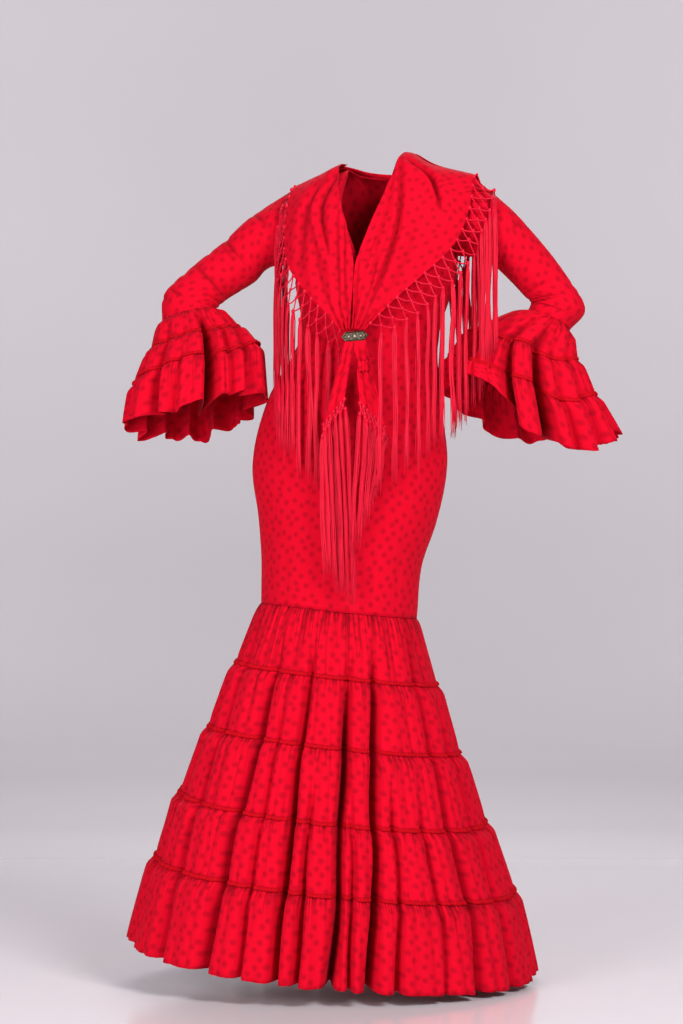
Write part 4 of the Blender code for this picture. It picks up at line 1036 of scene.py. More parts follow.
def dotted_group():
    """Group: scattered round dots in slanting rows.  A cell pattern on the cloth's map,
    turned on the slant, gives the distance to the nearest dot's middle, and a smooth step
    of it gives the dot."""
    group, given, out = node_group(
        "scattered_dots", {"Spacing": 0.025, "Width": 0.010, "Soft": 0.0012}, ("Dot",))
    slant = stretched(group, given["Map"], Rotation=(0.0, 0.0, math.radians(38)))
    density = math_node(group, "DIVIDE", 1.0, given["Spacing"])
    cells = node(group, "TexVoronoi", {"Vector": slant, "Scale": density, "Randomness": 0.45},
                 voronoi_dimensions="2D", feature="F1").outputs["Distance"]
    distance = math_node(group, "MULTIPLY", cells, given["Spacing"])
    edge = math_node(group, "MULTIPLY", given["Width"], 0.5)
    apart = math_node(group, "SUBTRACT", edge, distance)
    share = math_node(group, "ADD", math_node(group, "DIVIDE", apart, given["Soft"]), 0.5)
    group.links.new(node(group, "Clamp", {"Value": share}).outputs["Result"], out["Dot"])
    return group


def crepe_group():
    """Group: grain of crepe.  Two fine noises give the pebbled height and a slow one the
    uneven take-up of the dye."""
    group, given, out = node_group("crepe_grain", {"Grain": 1400.0}, ("Height", "Dye"))
    fine = noise(group, given["Map"], given["Grain"], 3.0)
    coarse = noise(group, given["Map"], 260.0)
    group.links.new(math_node(group, "MULTIPLY_ADD", coarse, 0.5, fine), out["Height"])
    group.links.new(noise(group, given["Map"], 9.0), out["Dye"])
    return group


def gather_group():
    """Group: fine gathers.  A noise drawn out down the cloth is near its middle value along
    thin, uneven lines; those lines are the valleys, shown as far as Reach says, both as sunk
    height and as painted shade."""
    group, given, out = node_group("fine_gathers_and_painted_shade", {"Reach": 0.0}, ("Height", "PaintedShade"))
    drawn = stretched(group, given["Map"], Scale=(92.0, 5.0, 1.0))
    value = noise(group, drawn, 1.0, 1.0, noise_dimensions="2D")
    aside = math_node(group, "ABSOLUTE", math_node(group, "SUBTRACT", value, 0.5))
    rise = math_node(group, "SMOOTH_MIN", math_node(group, "MULTIPLY", aside, 11.0), 1.0, 0.4)
    valley = math_node(group, "SUBTRACT", 1.0, rise)
    shown = math_node(group, "MULTIPLY", valley, given["Reach"])
    group.links.new(shown, out["PaintedShade"])
    group.links.new(math_node(group, "MULTIPLY", shown, -1.0), out["Height"])
    return group


class Finish:
    """Material with one Principled shader, whose inputs are set or linked by name."""

    def __init__(self, name, colour, roughness, **values):
        self.material = bpy.data.materials.new(name)
        self.material.use_nodes = True
        self.tree = self.material.node_tree
        self.inputs = self.tree.nodes["Principled BSDF"].inputs
        values = {"base_color": (*colour, 1.0), "roughness": roughness, **values}
        for label, value in values.items():
            label = label.replace("_", " ").title().replace("Ior", "IOR")
            self.inputs[label].default_value = value

    def link(self, label, socket):
        """Link a socket into an input of the shader."""
        self.tree.links.new(socket, self.inputs[label])

    def bump(self, height, strength, distance):
        """Bump from a height into the shader's normal."""
        inputs = {"Strength": strength, "Distance": distance, "Height": height}
        self.link("Normal", node(self.tree, "Bump", inputs).outputs["Normal"])


def cloth_map(tree):
    """The piece's own map in metres."""
    return node(tree, "UVMap", uv_map="cloth").outputs["UV"]


def object_place(tree):
    """Places in the piece's own coordinates."""
    return node(tree, "TexCoord").outputs["Object"]


def opaque(colour, share=1.0):
    """Colour with an alpha of one, darkened to a share."""
    return (*(share * part for part in colour), 1.0)


def crepe_material(settings, groups):
    """Matte red crepe with scattered darker dots, and painted shade in its deep folds, tucks and
    fine gathers.
    """
    crepe = Finish("dotted_crepe", settings.red, 0.85, specular_ior_level=0.06,
                   sheen_weight=0.06, sheen_roughness=0.5, sheen_tint=(1.0, 0.12, 0.20, 1.0))
    tree, place = crepe.tree, cloth_map(crepe.tree)
    dots = node(tree, "Group", {"Map": place, "Spacing": settings.dot_spacing,
                                "Width": settings.dot_width, "Soft": 0.0046},
                node_tree=groups["dots"]).outputs["Dot"]
    grain = node(tree, "Group", {"Map": place}, node_tree=groups["crepe"]).outputs
    # creases is the painted shade of the deep folds and tucks; gathers also gives painted shade.
    reach, fold = (node(tree, "Attribute", attribute_name=name).outputs["Fac"]
                   for name in ("gathers", "creases"))
    gathers = node(tree, "Group", {"Map": place, "Reach": reach},
                   node_tree=groups["gathers"]).outputs
    dye = math_node(tree, "MULTIPLY_ADD", grain["Dye"], 0.16, -0.02)
    ground = colour_mix(tree, dye, opaque(settings.red), opaque(settings.dot_red))
    colour = colour_mix(tree, math_node(tree, "MULTIPLY", dots, 0.68), ground,
                        opaque(settings.dot_red))
    # Painted shade: the valleys of the fine gathers and the deep folds darken the colour towards
    # a near black red.
    painted_shade = math_node(tree, "MAXIMUM", math_node(tree, "MULTIPLY", gathers["PaintedShade"], 0.92),
                      math_node(tree, "MULTIPLY", fold, 0.66))
    crepe.link("Base Color", colour_mix(tree, painted_shade, colour, (0.13, 0.0004, 0.0030, 1.0)))
    crepe.bump(math_node(tree, "MULTIPLY_ADD", gathers["Height"], 5.0, grain["Height"]),
               0.35, 0.0005)


def braid_material(settings, groups):
    """Darker red ruched braid."""
    braid = Finish("ruched_braid", settings.braid_red, 0.9, specular_ior_level=0.08)
    grain = node(braid.tree, "Group", {"Map": cloth_map(braid.tree)},
                 node_tree=groups["crepe"]).outputs
    dye = math_node(braid.tree, "MULTIPLY_ADD", grain["Dye"], 0.5, -0.05)
    braid.link("Base Color", colour_mix(braid.tree, dye, opaque(settings.braid_red),
                                        opaque(settings.braid_red, 0.62)))
    braid.bump(grain["Height"], 0.5, 0.0004)


def fringe_material(settings):
    """Silky viscose thread: fine lines run down it."""
    thread = Finish("viscose_thread", settings.fringe_red, 0.48, specular_ior_level=0.16,
                    sheen_weight=0.04, sheen_tint=(1.0, 0.30, 0.40, 1.0))
    tree = thread.tree
    lines = noise(tree, stretched(tree, cloth_map(tree), Scale=(3200.0, 60.0, 1.0)), 1.0)
    share = math_node(tree, "MULTIPLY_ADD", lines, 1.2, -0.35)
    thread.link("Base Color", colour_mix(tree, share, opaque(settings.fringe_red),
                                         opaque(settings.fringe_red, 0.55)))
    thread.bump(lines, 0.4, 0.0003)


def clasp_materials():
    """Aged bronze whose colour and roughness vary in patches, and small grey pearls."""
    bronze = Finish("aged_bronze", (0.12, 0.09, 0.05), 0.50, metallic=0.75)
    tree = bronze.tree
    patches = noise(tree, object_place(tree), 420.0, 4.0)
    share = math_node(tree, "MULTIPLY_ADD", patches, 2.4, -0.9)
    bronze.link("Base Color", colour_mix(tree, share, (0.012, 0.008, 0.006, 1.0),
                                         (0.17, 0.125, 0.075, 1.0)))
    bronze.link("Roughness", math_node(tree, "MULTIPLY_ADD", patches, 0.35, 0.22))
    bronze.bump(patches, 0.4, 0.0005)
    pearl = Finish("grey_pearl", (0.62, 0.56, 0.50), 0.22, coat_weight=0.6,
                   coat_roughness=0.15)
    patches = noise(pearl.tree, object_place(pearl.tree), 300.0)
    pearl.link("Base Color", colour_mix(pearl.tree, patches, (0.44, 0.38, 0.32, 1.0),
                                        (0.24, 0.20, 0.17, 1.0)))


def materials(settings):
    """Every material of the dress by name, made once."""
    if "dotted_crepe" not in bpy.data.materials:
        groups = {"dots": dotted_group(), "crepe": crepe_group(), "gathers": gather_group()}
        crepe_material(settings, groups)
        braid_material(settings, groups)
        fringe_material(settings)
        clasp_materials()
    return bpy.data.materials


# ---------------------------------------------------------------- operators: cloth
def crepe_piece(name, stands_for, grid, settings, held, fullness=0.0, walls=1.0, **shape):
    """Crepe sheet that stands for a node: a closed ring when it has a fullness, or, without
    one, an open panel."""
    piece = cloth_piece(f"crepe_{name}", grid, materials(settings)["dotted_crepe"],
                        closed=fullness > 0, thickness=walls * settings.cloth_thickness,
                        **shape)
    seat(piece, "red_crepe", stands_for)


class DRESS_OT_body(bpy.types.Operator):
    """Build the fitted front and back panels."""
    bl_idname = "dress.body"
    bl_label = "Fitted body"

    def execute(self, context):
        for name, side, creases in (("body_front", 1, FRONT_CREASES),
                                    ("body_back", -1, BACK_CREASES)):
            grid = body_surface(side)
            across = np.linspace(0, 1, grid.shape[1])[None]
            height = grid[..., 2]
            hold = (ease(height, -0.807, -0.790) * (1 - ease(height, -0.20, -0.10))
                    * np.sin(math.pi * across) ** 0.3)
            sunk = trough_depth(height, across, creases) * hold
            grid = grid - facing(grid, -side) * sunk[..., None]
            crepe_piece(name, name, grid[::-1], context.scene.dress, "draped",
                        flipped=side < 0, offset=(0.013 * side, 0.4))
        return {"FINISHED"}


class DRESS_OT_sleeves(bpy.types.Operator):
    """Build both sleeves and their gathered ruffles."""
    bl_idname = "dress.sleeves"
    bl_label = "Sleeves and ruffles"

    def execute(self, context):
        settings = context.scene.dress
        for arm in ARMS:
            grid, creases = sleeve_surface(arm)
            inside = arm.hand < 0
            crepe_piece(f"sleeve_{arm.word}", f"sleeve_{arm.word}", grid, settings, "draped",
                        1.0, flipped=inside, creases=creases, offset=(0.2, 0.1 * arm.hand))
            for number in range(len(arm.ruffles) - 1):
                grid, gathers, creases = ruffle_surface(arm, number)
                name = f"sleeve_{arm.word}_ruffle_{number + 1}"
                crepe_piece(name, name, grid, settings, "gathered", FULLNESS, flipped=inside,
                            gathers=gathers, creases=creases,
                            offset=(0.07 * number, 0.3 * arm.hand))
        return {"FINISHED"}


class DRESS_OT_skirt(bpy.types.Operator):
    """Build the five gathered tiers."""
    bl_idname = "dress.skirt"
    bl_label = "Skirt tiers"

    def execute(self, context):
        settings = context.scene.dress
        for number in range(len(SKIRT) - 1):
            grid, gathers, creases = tier_surface(number, settings.gather_height)
            crepe_piece(f"tier_{number + 1}", f"skirt_tier_{number + 1}", grid, settings,
                        "gathered", FULLNESS, flipped=True, gathers=gathers, creases=creases,
                        offset=(0.11 * number, 0.05 * number))
        return {"FINISHED"}


def ruched_ring(path, outward, climb, height, pitch):
    """Ruched strip round a closed path.

    The profile is a flat oval as high as the strip.  Along the path a cosine of the pitch
    pinches its two edges in and makes its middle stand out between the pinches.
    """
    steps = np.linalg.norm(np.roll(path, -1, axis=0) - path, axis=-1)
    place = np.cumsum(steps) - steps
    count = max(3, round(steps.sum() / pitch))
    beat = np.cos(2 * math.pi * count * place / steps.sum())
    turn = full_turn(8)[:, None]
    tall = height / 2 * (1 + 0.16 * beat)[None] * np.sin(turn)
    deep = (0.0012 + 0.0007 * (1 + beat))[None] * (np.cos(turn) + 0.75)
    lean = 0.0005 * np.roll(beat, 2)[None] * np.sin(turn)
    grid = (path[None] + climb[None] * tall[..., None]
            + outward[None] * (deep + lean)[..., None])
    return np.concatenate([grid, grid[:1]])


def ruched_piece(name, grid, material, flipped=False):
    """Mesh of a ruched strip, closed along its path and round its profile."""
    rows, columns = grid.shape[:2]
    faces = quads_of(rows, columns, True, flipped) % ((rows - 1) * columns)
    return mesh_piece(name, grid[:-1], faces, material,
                      corner_uvs(length_map(grid, True, True), flipped))


class DRESS_OT_braids(bpy.types.Operator):
    """Build the ruched braid over every braided seam."""
    bl_idname = "dress.braids"
    bl_label = "Ruched braid"

    def execute(self, context):
        settings = context.scene.dress
        for number in range(1, len(SKIRT) - 1):
            ring = SKIRT[number]
            angle = self.angles(-math.pi, ring.half_width + ring.half_depth)
            grow = valley_profile(number, angle) * ring.fold + seam_ripple(number, angle)
            path = skirt_ring(ring, angle, grow)
            outward = unit((path - path.mean(axis=0)) * np.array([1.0, 1.0, 0.0]))
            self.make(settings, f"braid_skirt_{number}", f"skirt_braid_{number}", path,
                      outward, unit(UP - outward * 0.38))
        for arm in ARMS:
            for number in (1, 2):
                cuff = arm.ruffles[number]
                angle = self.angles(-math.pi / 2, cuff.half_across + cuff.half_deep)
                grow = ruffle_seam(arm, number, angle)
                path = cuff_ring(cuff, angle, grow, arm.lifts, number)
                above = row_between(arm.ruffles[number - 1], cuff, 0.75)
                climb = unit(cuff_ring(above, angle, grow, arm.lifts, number - 0.25) - path)
                outward = unit(path - path.mean(axis=0))
                along = np.sum(outward * climb, axis=-1, keepdims=True)
                self.make(settings, f"braid_sleeve_{arm.word}_{number}",
                          f"sleeve_{arm.word}_braid_{number}", path,
                          unit(outward - climb * along), climb, arm.hand < 0)
        return {"FINISHED"}

    def angles(self, start, axes):
        """Angles round a ring from the sum of its half axes, five to a pinch."""
        return full_turn(int(math.pi * axes / BRAID_PITCH * 5), start)

    def make(self, settings, name, stands_for, path, outward, climb, flipped=False):
        """One ruched strip on its seam."""
        grid = ruched_ring(path + outward * 0.0004, outward, climb, settings.braid_height,
                           BRAID_PITCH)
        seat(ruched_piece(name, grid, materials(settings)["ruched_braid"], flipped),
             "red_braid", stands_for)


class DRESS_OT_shawl(bpy.types.Operator):
    """Build the folded shawl and its two tails."""
    bl_idname = "dress.shawl"
    bl_label = "Shawl"

    def execute(self, context):
        settings = context.scene.dress
        for word, hand in HANDS:
            grid, creases = shawl_front_surface(hand)
            crepe_piece(f"shawl_{word}", f"shawl_front_{word}", grid, settings, "draped",
                        flipped=hand > 0, creases=creases, walls=1.6, offset=(0.31 * hand, 0.2))
        grid, creases = shawl_back_surface()
        crepe_piece("shawl_back", "shawl_back", grid, settings, "draped", creases=creases,
                    walls=1.6, offset=(0.05, 0.33))
        for number, (word, _) in enumerate(HANDS):
            grid = tail_surface(number)
            crepe_piece(f"tail_{word}", f"shawl_tail_{word}", grid, settings, "hung",
                        offset=(0.24 + 0.5 * number, 0.1))
        self.band(grid, materials(settings)["dotted_crepe"])
        return {"FINISHED"}

    def band(self, tail, crepe):
        """Band of cloth wound round the left tail: a ruched strip on a flat oval."""
        middle = tail[int(BAND_AT * len(tail))].mean(axis=0)
        turn = full_turn(96)
        wide, deep, tall = BAND_SIZE
        path = middle + np.stack([wide * np.cos(turn), -deep * np.sin(turn),
                                  0.10 * wide * np.cos(turn)], axis=-1)
        outward = unit((path - middle) * np.array([0.4, 1.0, 0.0]))
        grid = ruched_ring(path, outward, np.broadcast_to(UP, path.shape), tall, BAND_PITCH)
        piece = ruched_piece("crepe_tail_band", grid, crepe)
        outward_faces(piece)
        seat(piece, "red_crepe")


# ---------------------------------------------------------------- fringe
LOCKS = 8                # thread bundles in one strand
LOCK_ROWS = 16
LOCK_RADIUS = 0.00100
STRAND_HALF_WIDTH = 0.0035
NET_ROW = 0.0230         # height of one row of the net's diamonds
CORD_RADIUS = 0.00135
KNOT_RADIUS = 0.0030
ARM_CLEAR = 0.006
NET_CLEARS = (0.0105, 0.0115)    # how far the net's two rows of knots keep off the body
STRAND_CLEAR = 0.0125
TAIL_NET = 0.42          # the tails' net beside the others
Edge = namedtuple("Edge", "name stands_for seed side pitch spread row ends lean",
                  defaults=(1.0, None, 0.0))


def tubes(paths, radii, sides):
    """Many tubes at once: each path (count, rows, 3) carries a polygon of the given sides.

    The polygon lies on the horizontal direction across the path and the cross product with
    it, scaled by radii (count, rows, 2).  Gives points, quads and the two end polygons.
    """
    count, rows = paths.shape[:2]
    ahead = unit(np.gradient(paths, axis=1))
    aside = unit(np.cross(ahead, np.array([0.02, -1.0, 0.05])))
    across = np.cross(aside, ahead)
    angle = full_turn(sides)
    points = (paths[:, :, None] + aside[:, :, None] * (radii[..., 0:1] * np.cos(angle))[..., None]
              + across[:, :, None] * (radii[..., 1:2] * np.sin(angle))[..., None])
    start = (np.arange(count) * rows * sides)[:, None, None]
    quads = (quads_of(rows, sides, True, False)[None] + start).reshape(-1, 4)
    ring = np.arange(sides)[None] + start[:, :, 0]
    return points.reshape(-1, 3), quads, [ring[:, ::-1], ring + (rows - 1) * sides]


def arm_axis():
    """Middle line and radius of both sleeves with their ruffles, as many close points."""
    dense = []
    for arm in ARMS:
        root = to_world(arm.hand * 0.158, 0.0, -0.078)
        knots = [[*root, 0.056]] + [[cuff.x, cuff.y, cuff.z, cuff.half_deep + 0.004]
                                    for cuff in (*arm.sleeve, *arm.ruffles[1:])]
        places = np.arange(len(knots), dtype=float)
        dense.append(spline(knots, places, np.linspace(0, places[-1], 60)))
    return np.concatenate(dense)


def clear_arms(points, side):
    """Points moved to the front (-1) or back (+1) until they lie off the sleeves.

    The nearest place of a sleeve's middle line, seen from the front, gives how deep the
    sleeve is there: a circle of its radius round the line.  Points a little above the
    upper sleeve sink until they rest on it.
    """
    axis = arm_axis()
    flat = points.reshape(-1, 3).copy()
    apart = flat[:, None, [0, 2]] - axis[None][..., [0, 2]]
    distance = np.hypot(apart[..., 0], apart[..., 1])
    best = (distance - 0.5 * axis[None, :, 3]).argmin(axis=1)
    distance = distance[np.arange(len(flat)), best]
    near = axis[best]
    reach = near[:, 3] + ARM_CLEAR
    surface = near[:, 1] + side * np.sqrt(np.clip(reach ** 2 - distance ** 2, 0, None))
    inside = (distance < reach) & ((flat[:, 1] - surface) * side < 0)
    flat[inside, 1] = surface[inside]
    above = ((distance > reach) & (distance < reach + 0.030) & (flat[:, 2] > -0.14)
             & (flat[:, 2] > near[:, 2]))
    drawn = near[:, :3] + (flat - near[:, :3]) * (reach / np.maximum(distance, 1e-6))[:, None]
    flat[above, 0], flat[above, 2] = drawn[above, 0], drawn[above, 2]
    return flat.reshape(points.shape)


def clear_body(points, clear, side):
    """Points moved straight to the front (-1) or back (+1) until they lie off the body.

    Across the body's level ellipse a place has one depth; a point nearer the middle than
    that depth is moved to it.  Points beside the ellipse stay.
    """
    moved = points.copy()
    for _ in range(2):
        level, across, forward = to_body(moved)
        depth = level[..., 4 if side < 0 else 5] + clear
        share = np.clip(1 - (across / (level[..., 3] + clear)) ** 2, 0, 1)
        short = np.clip(depth * np.sqrt(share) + forward * side, 0, None)
        moved[..., 1] += side * short * (share > 0) * ease(-points[..., 2], 0.02, 0.10)
    return moved


def even_points(edge, pitch):
    """Points an even pitch apart along a polyline, given as columns of its values."""
    steps = steps_of(edge[:, :3], 0)
    place = np.concatenate([[0.0], np.cumsum(steps)])
    at = np.linspace(0, place[-1], max(2, round(place[-1] / pitch) + 1))
    return np.stack([np.interp(at, place, column) for column in edge.T], axis=-1)


def net_cords(anchors, away, edge, random):
    """Cords of two rows of diamonds, their two rows of knots and the anchors' knots.

    The first knots lie half a pitch on and one row down from the anchors, the second under
    the anchors and two rows down.  Cords join each knot to both neighbours above.  The
    edge's spread is how far the net leans out from the cloth.
    """
    fall = unit(away * edge.spread + np.array([0.0, 0.0, -0.72])) * (NET_ROW * edge.row)
    first = (anchors[:-1] + anchors[1:]) / 2 + (fall[:-1] + fall[1:]) / 2
    rows = []
    for row, clear, stray in zip((first, anchors + fall * 2), NET_CLEARS, (0.0012, 0.0014)):
        row = clear_arms(clear_body(push_out(row, clear), clear, edge.side), edge.side)
        row[..., 1] += edge.side * 0.0016
        rows.append(row + random.normal(0, stray, row.shape))
    first, second = rows
    share = np.linspace(0, 1, 6)[None, :, None]
    cords = []
    for above, below in ((anchors[:-1], first), (anchors[1:], first),
                         (first, second[:-1]), (first, second[1:])):
        line = above[:, None] * (1 - share) + below[:, None] * share
        line[..., 2] -= 0.0022 * np.sin(math.pi * share[..., 0])
        cords.append(line)
    return np.concatenate(cords), first, second


def knots_at(places, random):
    """Small round knots: short tubes whose radius swells and closes again."""
    share = np.linspace(0, 1, 6)
    size = KNOT_RADIUS * random.uniform(0.85, 1.2, len(places))[:, None]
    line = places[:, None] + (np.array([0.25, 0.0, 1.0])
                              * ((0.5 - share) * 2.4)[None, :, None] * size[..., None])
    radius = size * np.sqrt(np.clip(1 - (1.9 * (share - 0.5)) ** 2, 0.05, 1))[None]
    return tubes(line, np.stack([radius, radius], axis=-1), 6)


def strand_lines(knots, long, random, side, lean):
    """Thread bundles of every strand, hung from its knot.

    A bundle's place across its strand spreads just under the knot and again near the
    frayed end, and the middle ones stand out.  It falls straight, sways a little and keeps
    off the body and the sleeves.  Once it has been held off it doesn't swing back.
    """
    count = len(knots)
    share = np.linspace(0, 1, LOCK_ROWS)
    long = long[:, None] * (1 + random.normal(0, 0.028, (count, LOCKS)))
    place = (np.linspace(-1, 1, LOCKS)[None] + random.normal(0, 0.10, (count, LOCKS)))[..., None]
    spread = place * STRAND_HALF_WIDTH * random.uniform(0.75, 1.1, (count, 1, 1))
    spread = spread * (0.45 + 0.55 * ease(share, 0.0, 0.06) + 0.45 * ease(share, 0.7, 1.0))
    sway = sum(random.normal(0, size, (count, wide, 1)) * np.sin(share * beat)
               for size, wide, beat in ((0.0034, 1, 2.4), (0.0010, 1, 9.0),
                                        (0.0006, LOCKS, 13.0)))
    layer = random.uniform(0, 0.0016, (count, LOCKS, 1)) + 0.0022 * (1 - place ** 2)
    x, y, z = (knots[:, None, None, axis] for axis in range(3))
    lines = np.stack(np.broadcast_arrays(x + spread + sway + lean * share, y,
                                         z - long[..., None] * share), axis=-1)
    lines = lines.reshape(-1, LOCK_ROWS, 3)
    lines = clear_arms(clear_body(lines, STRAND_CLEAR, side), side)
    settle = np.maximum.accumulate if side > 0 else np.minimum.accumulate
    lines[..., 1] += (settle(lines[..., 1], axis=1) - lines[..., 1]) * 0.9
    lines[..., 1] += side * (layer * ease(share, 0.0, 0.08)).reshape(-1, LOCK_ROWS)
    return lines


def fringe_piece(grid, edge, settings):
    """Net of two rows of diamonds and its strands, hung along the low border of cloth.

    The edge's ends give the height where its first and last strand end; without them every
    strand has the settings' length.  Its lean is how far the strands' ends swing across.
    """
    random = np.random.default_rng(edge.seed)
    both = even_points(np.concatenate(grid, axis=1), settings.knot_pitch * edge.pitch)
    anchors = both[:, :3]
    cords, first, second = net_cords(anchors, unit(anchors - both[:, 3:]), edge, random)
    if edge.ends:
        long = second[:, 2] - np.linspace(*edge.ends, len(second))
    else:
        long = np.full(len(second), settings.strand_length)
    long = long * (1 + random.normal(0, 0.02, len(second)))
    lines = strand_lines(second, long, random, edge.side, edge.lean)
    width = LOCK_RADIUS * (1 - 0.70 * ease(np.linspace(0, 1, LOCK_ROWS), 0.80, 1.0))
    width = width[None] * random.uniform(0.75, 1.25, (len(lines), 1))
    made = (tubes(cords, np.full(cords.shape[:2] + (2,), CORD_RADIUS), 5),
            knots_at(np.concatenate([anchors, first, second]), random),
            tubes(lines, np.stack([width, width * 0.8], axis=-1), 4))
    points = np.concatenate([part[0] for part in made])
    starts = np.cumsum([0] + [len(part[0]) for part in made])
    faces = []
    for start, (_, quads, caps) in zip(starts, made):
        for some in (quads, *caps):
            faces += (some + start).tolist()
    corners = points[np.concatenate([np.ravel(face) for face in faces])]
    uv = np.stack([corners[:, 0] + 0.6 * corners[:, 1], corners[:, 2]], axis=-1)
    piece = mesh_piece(edge.name, points, faces, materials(settings)["viscose_thread"], uv)
    seat(piece, "fringe_red", edge.stands_for)


class DRESS_OT_fringe(bpy.types.Operator):
    """Build the knotted net and the strands on every edge of the shawl."""
    bl_idname = "dress.fringe"
    bl_label = "Fringe"

    def execute(self, context):
        settings = context.scene.dress
        right, left = shawl_front_surface(-1)[0], shawl_front_surface(1)[0][:-5]
        back = shawl_back_surface()[0]
        for grid, edge in (
                ((right[:, -1], right[:, -2]),
                 Edge("fringe_front_edge_right", "fringe_front_right", 61, -1, 0.74, 0.7)),
                ((left[:, -1], left[:, -2]),
                 Edge("fringe_front_edge_left", "fringe_front_left", 62, -1, 0.80, 1.5)),
                ((back[-1], back[-2]), Edge("fringe_back_edge", "fringe_back", 63, 1, 1.0, 0.7))):
            fringe_piece(grid, edge, settings)
        for number, (word, _) in enumerate(HANDS):
            tail = tail_surface(number)
            edge = Edge(f"fringe_tail_edge_{word}", f"fringe_tail_{word}", 64 + number, -1,
                        0.36, 0.7, TAIL_NET, TAILS[number].ends, TAILS[number].lean)
            fringe_piece((tail[-1], tail[-2]), edge, settings)
        return {"FINISHED"}


# ---------------------------------------------------------------- clasp
def clasp_frame():
    """Directions of the clasp: along it, up it and out of its face."""
    lean, rise = math.radians(CLASP_SWING), math.radians(CLASP_RISE)
    along = np.array([math.cos(lean) * math.cos(rise), math.sin(lean) * math.cos(rise),
                      math.sin(rise)])
    face = np.array([math.sin(lean), -math.cos(lean), 0.0])
    up = np.cross(along, face)
    return along, up if up[2] > 0 else -up, face


def dome(place, radius, height, frame, rows=8, columns=16):
    """Half ball: a quarter-circle profile turned round the direction out of the clasp."""
    along, up, face = frame
    climb = np.linspace(0, math.pi / 2, rows)[:, None, None]
    turn = full_turn(columns)[None, :, None]
    return (place + radius * np.cos(climb) * (along * np.cos(turn) + up * np.sin(turn))
            + face * height * np.sin(climb))


class DRESS_OT_clasp(bpy.types.Operator):
    """Build the clasp: its bordered plate, beads and pearls."""
    bl_idname = "dress.clasp"
    bl_label = "Clasp"

    def execute(self, context):
        made = materials(context.scene.dress)
        along, up, face = frame = clasp_frame()
        middle = np.array(CLASP_PLACE)
        wide, tall = CLASP_LENGTH / 2, CLASP_WIDTH / 2
        flat = wide - CLASP_POINT
        outline = np.array([(-wide, 0.0), (-flat, tall), (flat, tall), (wide, 0.0),
                            (flat, -tall), (-flat, -tall)])
        share = np.linspace(0, 1, 9)[:-1]
        rim = np.concatenate([between(outline[i], outline[(i + 1) % 6], share[:, None])
                              for i in range(6)])
        profile = ((1.00, -0.5), (1.02, 0.20), (0.98, 0.46), (0.90, 0.50), (0.84, 0.34),
                   (0.78, 0.10), (0.40, 0.14), (0.04, 0.20))
        grid = np.array([middle + along * (rim[:, 0:1] * size) + up * (rim[:, 1:2] * size)
                         + face * (CLASP_THICKNESS * out) for size, out in profile])
        rows, columns = grid.shape[:2]
        faces = quads_of(rows, columns, True, False).tolist()
        faces.append(list(range(columns)))
        faces.append(list(range(rows * columns - 1, (rows - 1) * columns - 1, -1)))
        piece = mesh_piece("clasp_plate", grid, faces, made["aged_bronze"])
        outward_faces(piece)
        piece.data.set_sharp_from_angle(angle=math.radians(40))
        seat(piece, "clasp_bronze", "clasp")
        beads, pearls = [], []
        for x, size in PEARLS:
            place = middle + along * x + face * (CLASP_THICKNESS * 0.22)
            pearls.append(dome(place, size, 0.0020, frame))
            for turn in full_turn(10):
                aside = (along * math.cos(turn) + up * math.sin(turn)) * (size + 0.0019)
                beads.append(dome(place + aside, BEAD_RADIUS, 0.0014, frame, 4, 8))
        for x in np.linspace(-0.0185, 0.0185, 14):
            for z in (-0.0062, 0.0062):
                place = middle + along * x + up * z + face * (CLASP_THICKNESS * 0.12)
                beads.append(dome(place, BEAD_RADIUS, 0.0011, frame, 4, 8))
        self.join("clasp_beads", beads, made["aged_bronze"])
        self.join("clasp_pearls", pearls, made["grey_pearl"])
        return {"FINISHED"}

    def join(self, name, domes, material):
        """One mesh of many half balls, each closed by a flat face."""
        rows, columns = domes[0].shape[:2]
        faces = []
        for start in range(0, len(domes) * rows * columns, rows * columns):
            faces += (quads_of(rows, columns, True, False) + start).tolist()
            faces.append(list(range(start, start + columns)))
        piece = mesh_piece(name, domes, faces, material)
        outward_faces(piece)
        seat(piece, "clasp_bronze")


def outward_faces(piece):
    """Merge doubled points and turn the faces of a closed mesh outwards."""
    work = bmesh.new()
    work.from_mesh(piece.data)
    bmesh.ops.remove_doubles(work, verts=work.verts, dist=1e-6)
    bmesh.ops.recalc_face_normals(work, faces=work.faces)
    work.to_mesh(piece.data)
    work.free()


# ---------------------------------------------------------------- stage
CAMERA_ACROSS = -0.0534
CAMERA_HEIGHT = -0.623


def placed(context, name, data, location, turn):
    """Light or camera at its place, turned by degrees."""
    made = bpy.data.objects.new(name, data)
    made.location = location
    made.rotation_euler = tuple(math.radians(part) for part in turn)
    context.scene.collection.objects.link(made)
    return made


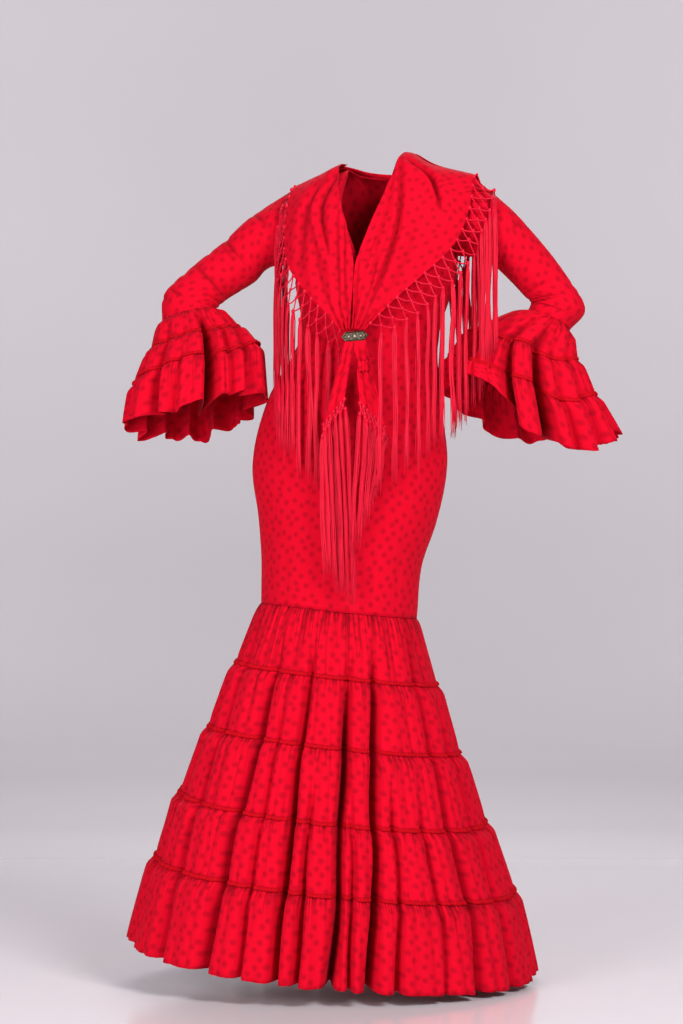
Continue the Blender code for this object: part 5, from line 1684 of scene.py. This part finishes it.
class DRESS_OT_stage(bpy.types.Operator):
    """Build the pale floor, the lights and the camera."""
    bl_idname = "dress.stage"
    bl_label = "Stage"

    def execute(self, context):
        settings = context.scene.dress_stage
        self.floor(settings.floor_height)
        self.lights(context, settings)
        data = bpy.data.cameras.new("camera")
        data.sensor_fit = "VERTICAL"
        data.sensor_height = 36.0
        data.lens = settings.lens
        place = (CAMERA_ACROSS, -settings.distance, CAMERA_HEIGHT)
        context.scene.camera = placed(context, "camera", data, place, (90, 0, 0))
        context.scene.view_settings.view_transform = "Standard"
        return {"FINISHED"}

    def floor(self, level):
        """Floor that curves up into a far back wall: a flat, a wide quarter circle and an
        upright.  Near the dress it is glossier and paler."""
        radius = 5.0
        turn = np.linspace(0, math.pi / 2, 40)
        y = np.concatenate([[-12.0], 6.0 + radius * np.sin(turn), [6.0 + radius]])
        z = np.concatenate([[level], level + radius * (1 - np.cos(turn)), [level + 9.0]])
        grid = np.stack(np.broadcast_arrays(np.array([[-12.0, 12.0]]), y[:, None], z[:, None]),
                        axis=-1)
        paint = Finish("studio_floor", (0.57, 0.532, 0.566), 0.30, specular_ior_level=0.30)
        tree, place = paint.tree, object_place(paint.tree)
        ahead = node(tree, "SeparateXYZ", {0: place}).outputs["Y"]
        rough = node(tree, "MapRange", {"Value": ahead, 1: 1.9, 2: 2.9, 3: 0.16,
                                        4: 0.75}).outputs["Result"]
        paint.link("Roughness", rough)
        colour = colour_mix(tree, noise(tree, place, 0.7), (0.57, 0.528, 0.562, 1.0),
                            (0.61, 0.570, 0.600, 1.0))
        share = math_node(tree, "MULTIPLY_ADD", rough, -1.69, 1.27)
        paint.link("Base Color", colour_mix(tree, share, colour, (0.70, 0.655, 0.690, 1.0)))
        mesh_piece("studio_floor", grid, quads_of(len(y), 2, False, False),
                            paint.material)

    def lights(self, context, settings):
        """Large soft front light, a fill from the other side and an even studio light."""
        for name, power, size, place, turn in (
                ("key", settings.key_power, 1.8, (2.6, -4.0, 2.3), (61, 0, 33)),
                ("fill", settings.fill_power, 2.2, (-2.7, -4.1, 0.0), (84, 0, -33)),
                ("wall_left", settings.wall_power, 3.0, (-3.4, 5.6, 3.4), (72, 0, 12)),
                ("wall_right", settings.wall_power, 3.0, (3.4, 5.6, 3.4), (72, 0, -12)),
                ("back", settings.back_power, 3.0, (0.0, 4.6, 3.6), (-48, 0, 0))):
            data = bpy.data.lights.new(name, "AREA")
            data.energy = power
            data.size = size
            placed(context, name, data, place, turn)
        world = context.scene.world or bpy.data.worlds.new("studio")
        context.scene.world = world
        world.use_nodes = True
        sky = world.node_tree.nodes["Background"]
        sky.inputs["Color"].default_value = (0.93, 0.91, 0.96, 1.0)
        sky.inputs["Strength"].default_value = settings.sky


# ---------------------------------------------------------------- panel and registration
class DRESS_PT_panel(bpy.types.Panel):
    """Lists the dress's sizes and operators."""
    bl_idname = "DRESS_PT_panel"
    bl_label = "Flamenco Dress"
    bl_space_type = "VIEW_3D"
    bl_region_type = "UI"
    bl_category = "Dress"

    def draw(self, context):
        for settings in (context.scene.dress, context.scene.dress_stage):
            for name in settings.__annotations__:
                self.layout.prop(settings, name)
        for operator in OPERATORS:
            self.layout.operator(operator.bl_idname)


OPERATORS = (DRESS_OT_body, DRESS_OT_sleeves, DRESS_OT_skirt, DRESS_OT_braids,
             DRESS_OT_shawl, DRESS_OT_fringe, DRESS_OT_clasp, DRESS_OT_stage)
CLASSES = (DressSettings, StageSettings, *OPERATORS, DRESS_PT_panel)


def register():
    """Register the classes and hang the settings on the scene."""
    for item in CLASSES:
        bpy.utils.register_class(item)
    bpy.types.Scene.dress = bpy.props.PointerProperty(type=DressSettings)
    bpy.types.Scene.dress_stage = bpy.props.PointerProperty(type=StageSettings)


def unregister():
    """Take the settings and the classes away again."""
    del bpy.types.Scene.dress
    del bpy.types.Scene.dress_stage
    for item in reversed(CLASSES):
        bpy.utils.unregister_class(item)


def main():
    register()
    for name in ("stage", "body", "sleeves", "skirt", "braids", "shawl", "fringe", "clasp"):
        getattr(bpy.ops.dress, name)()


if __name__ == "__main__":
    main()
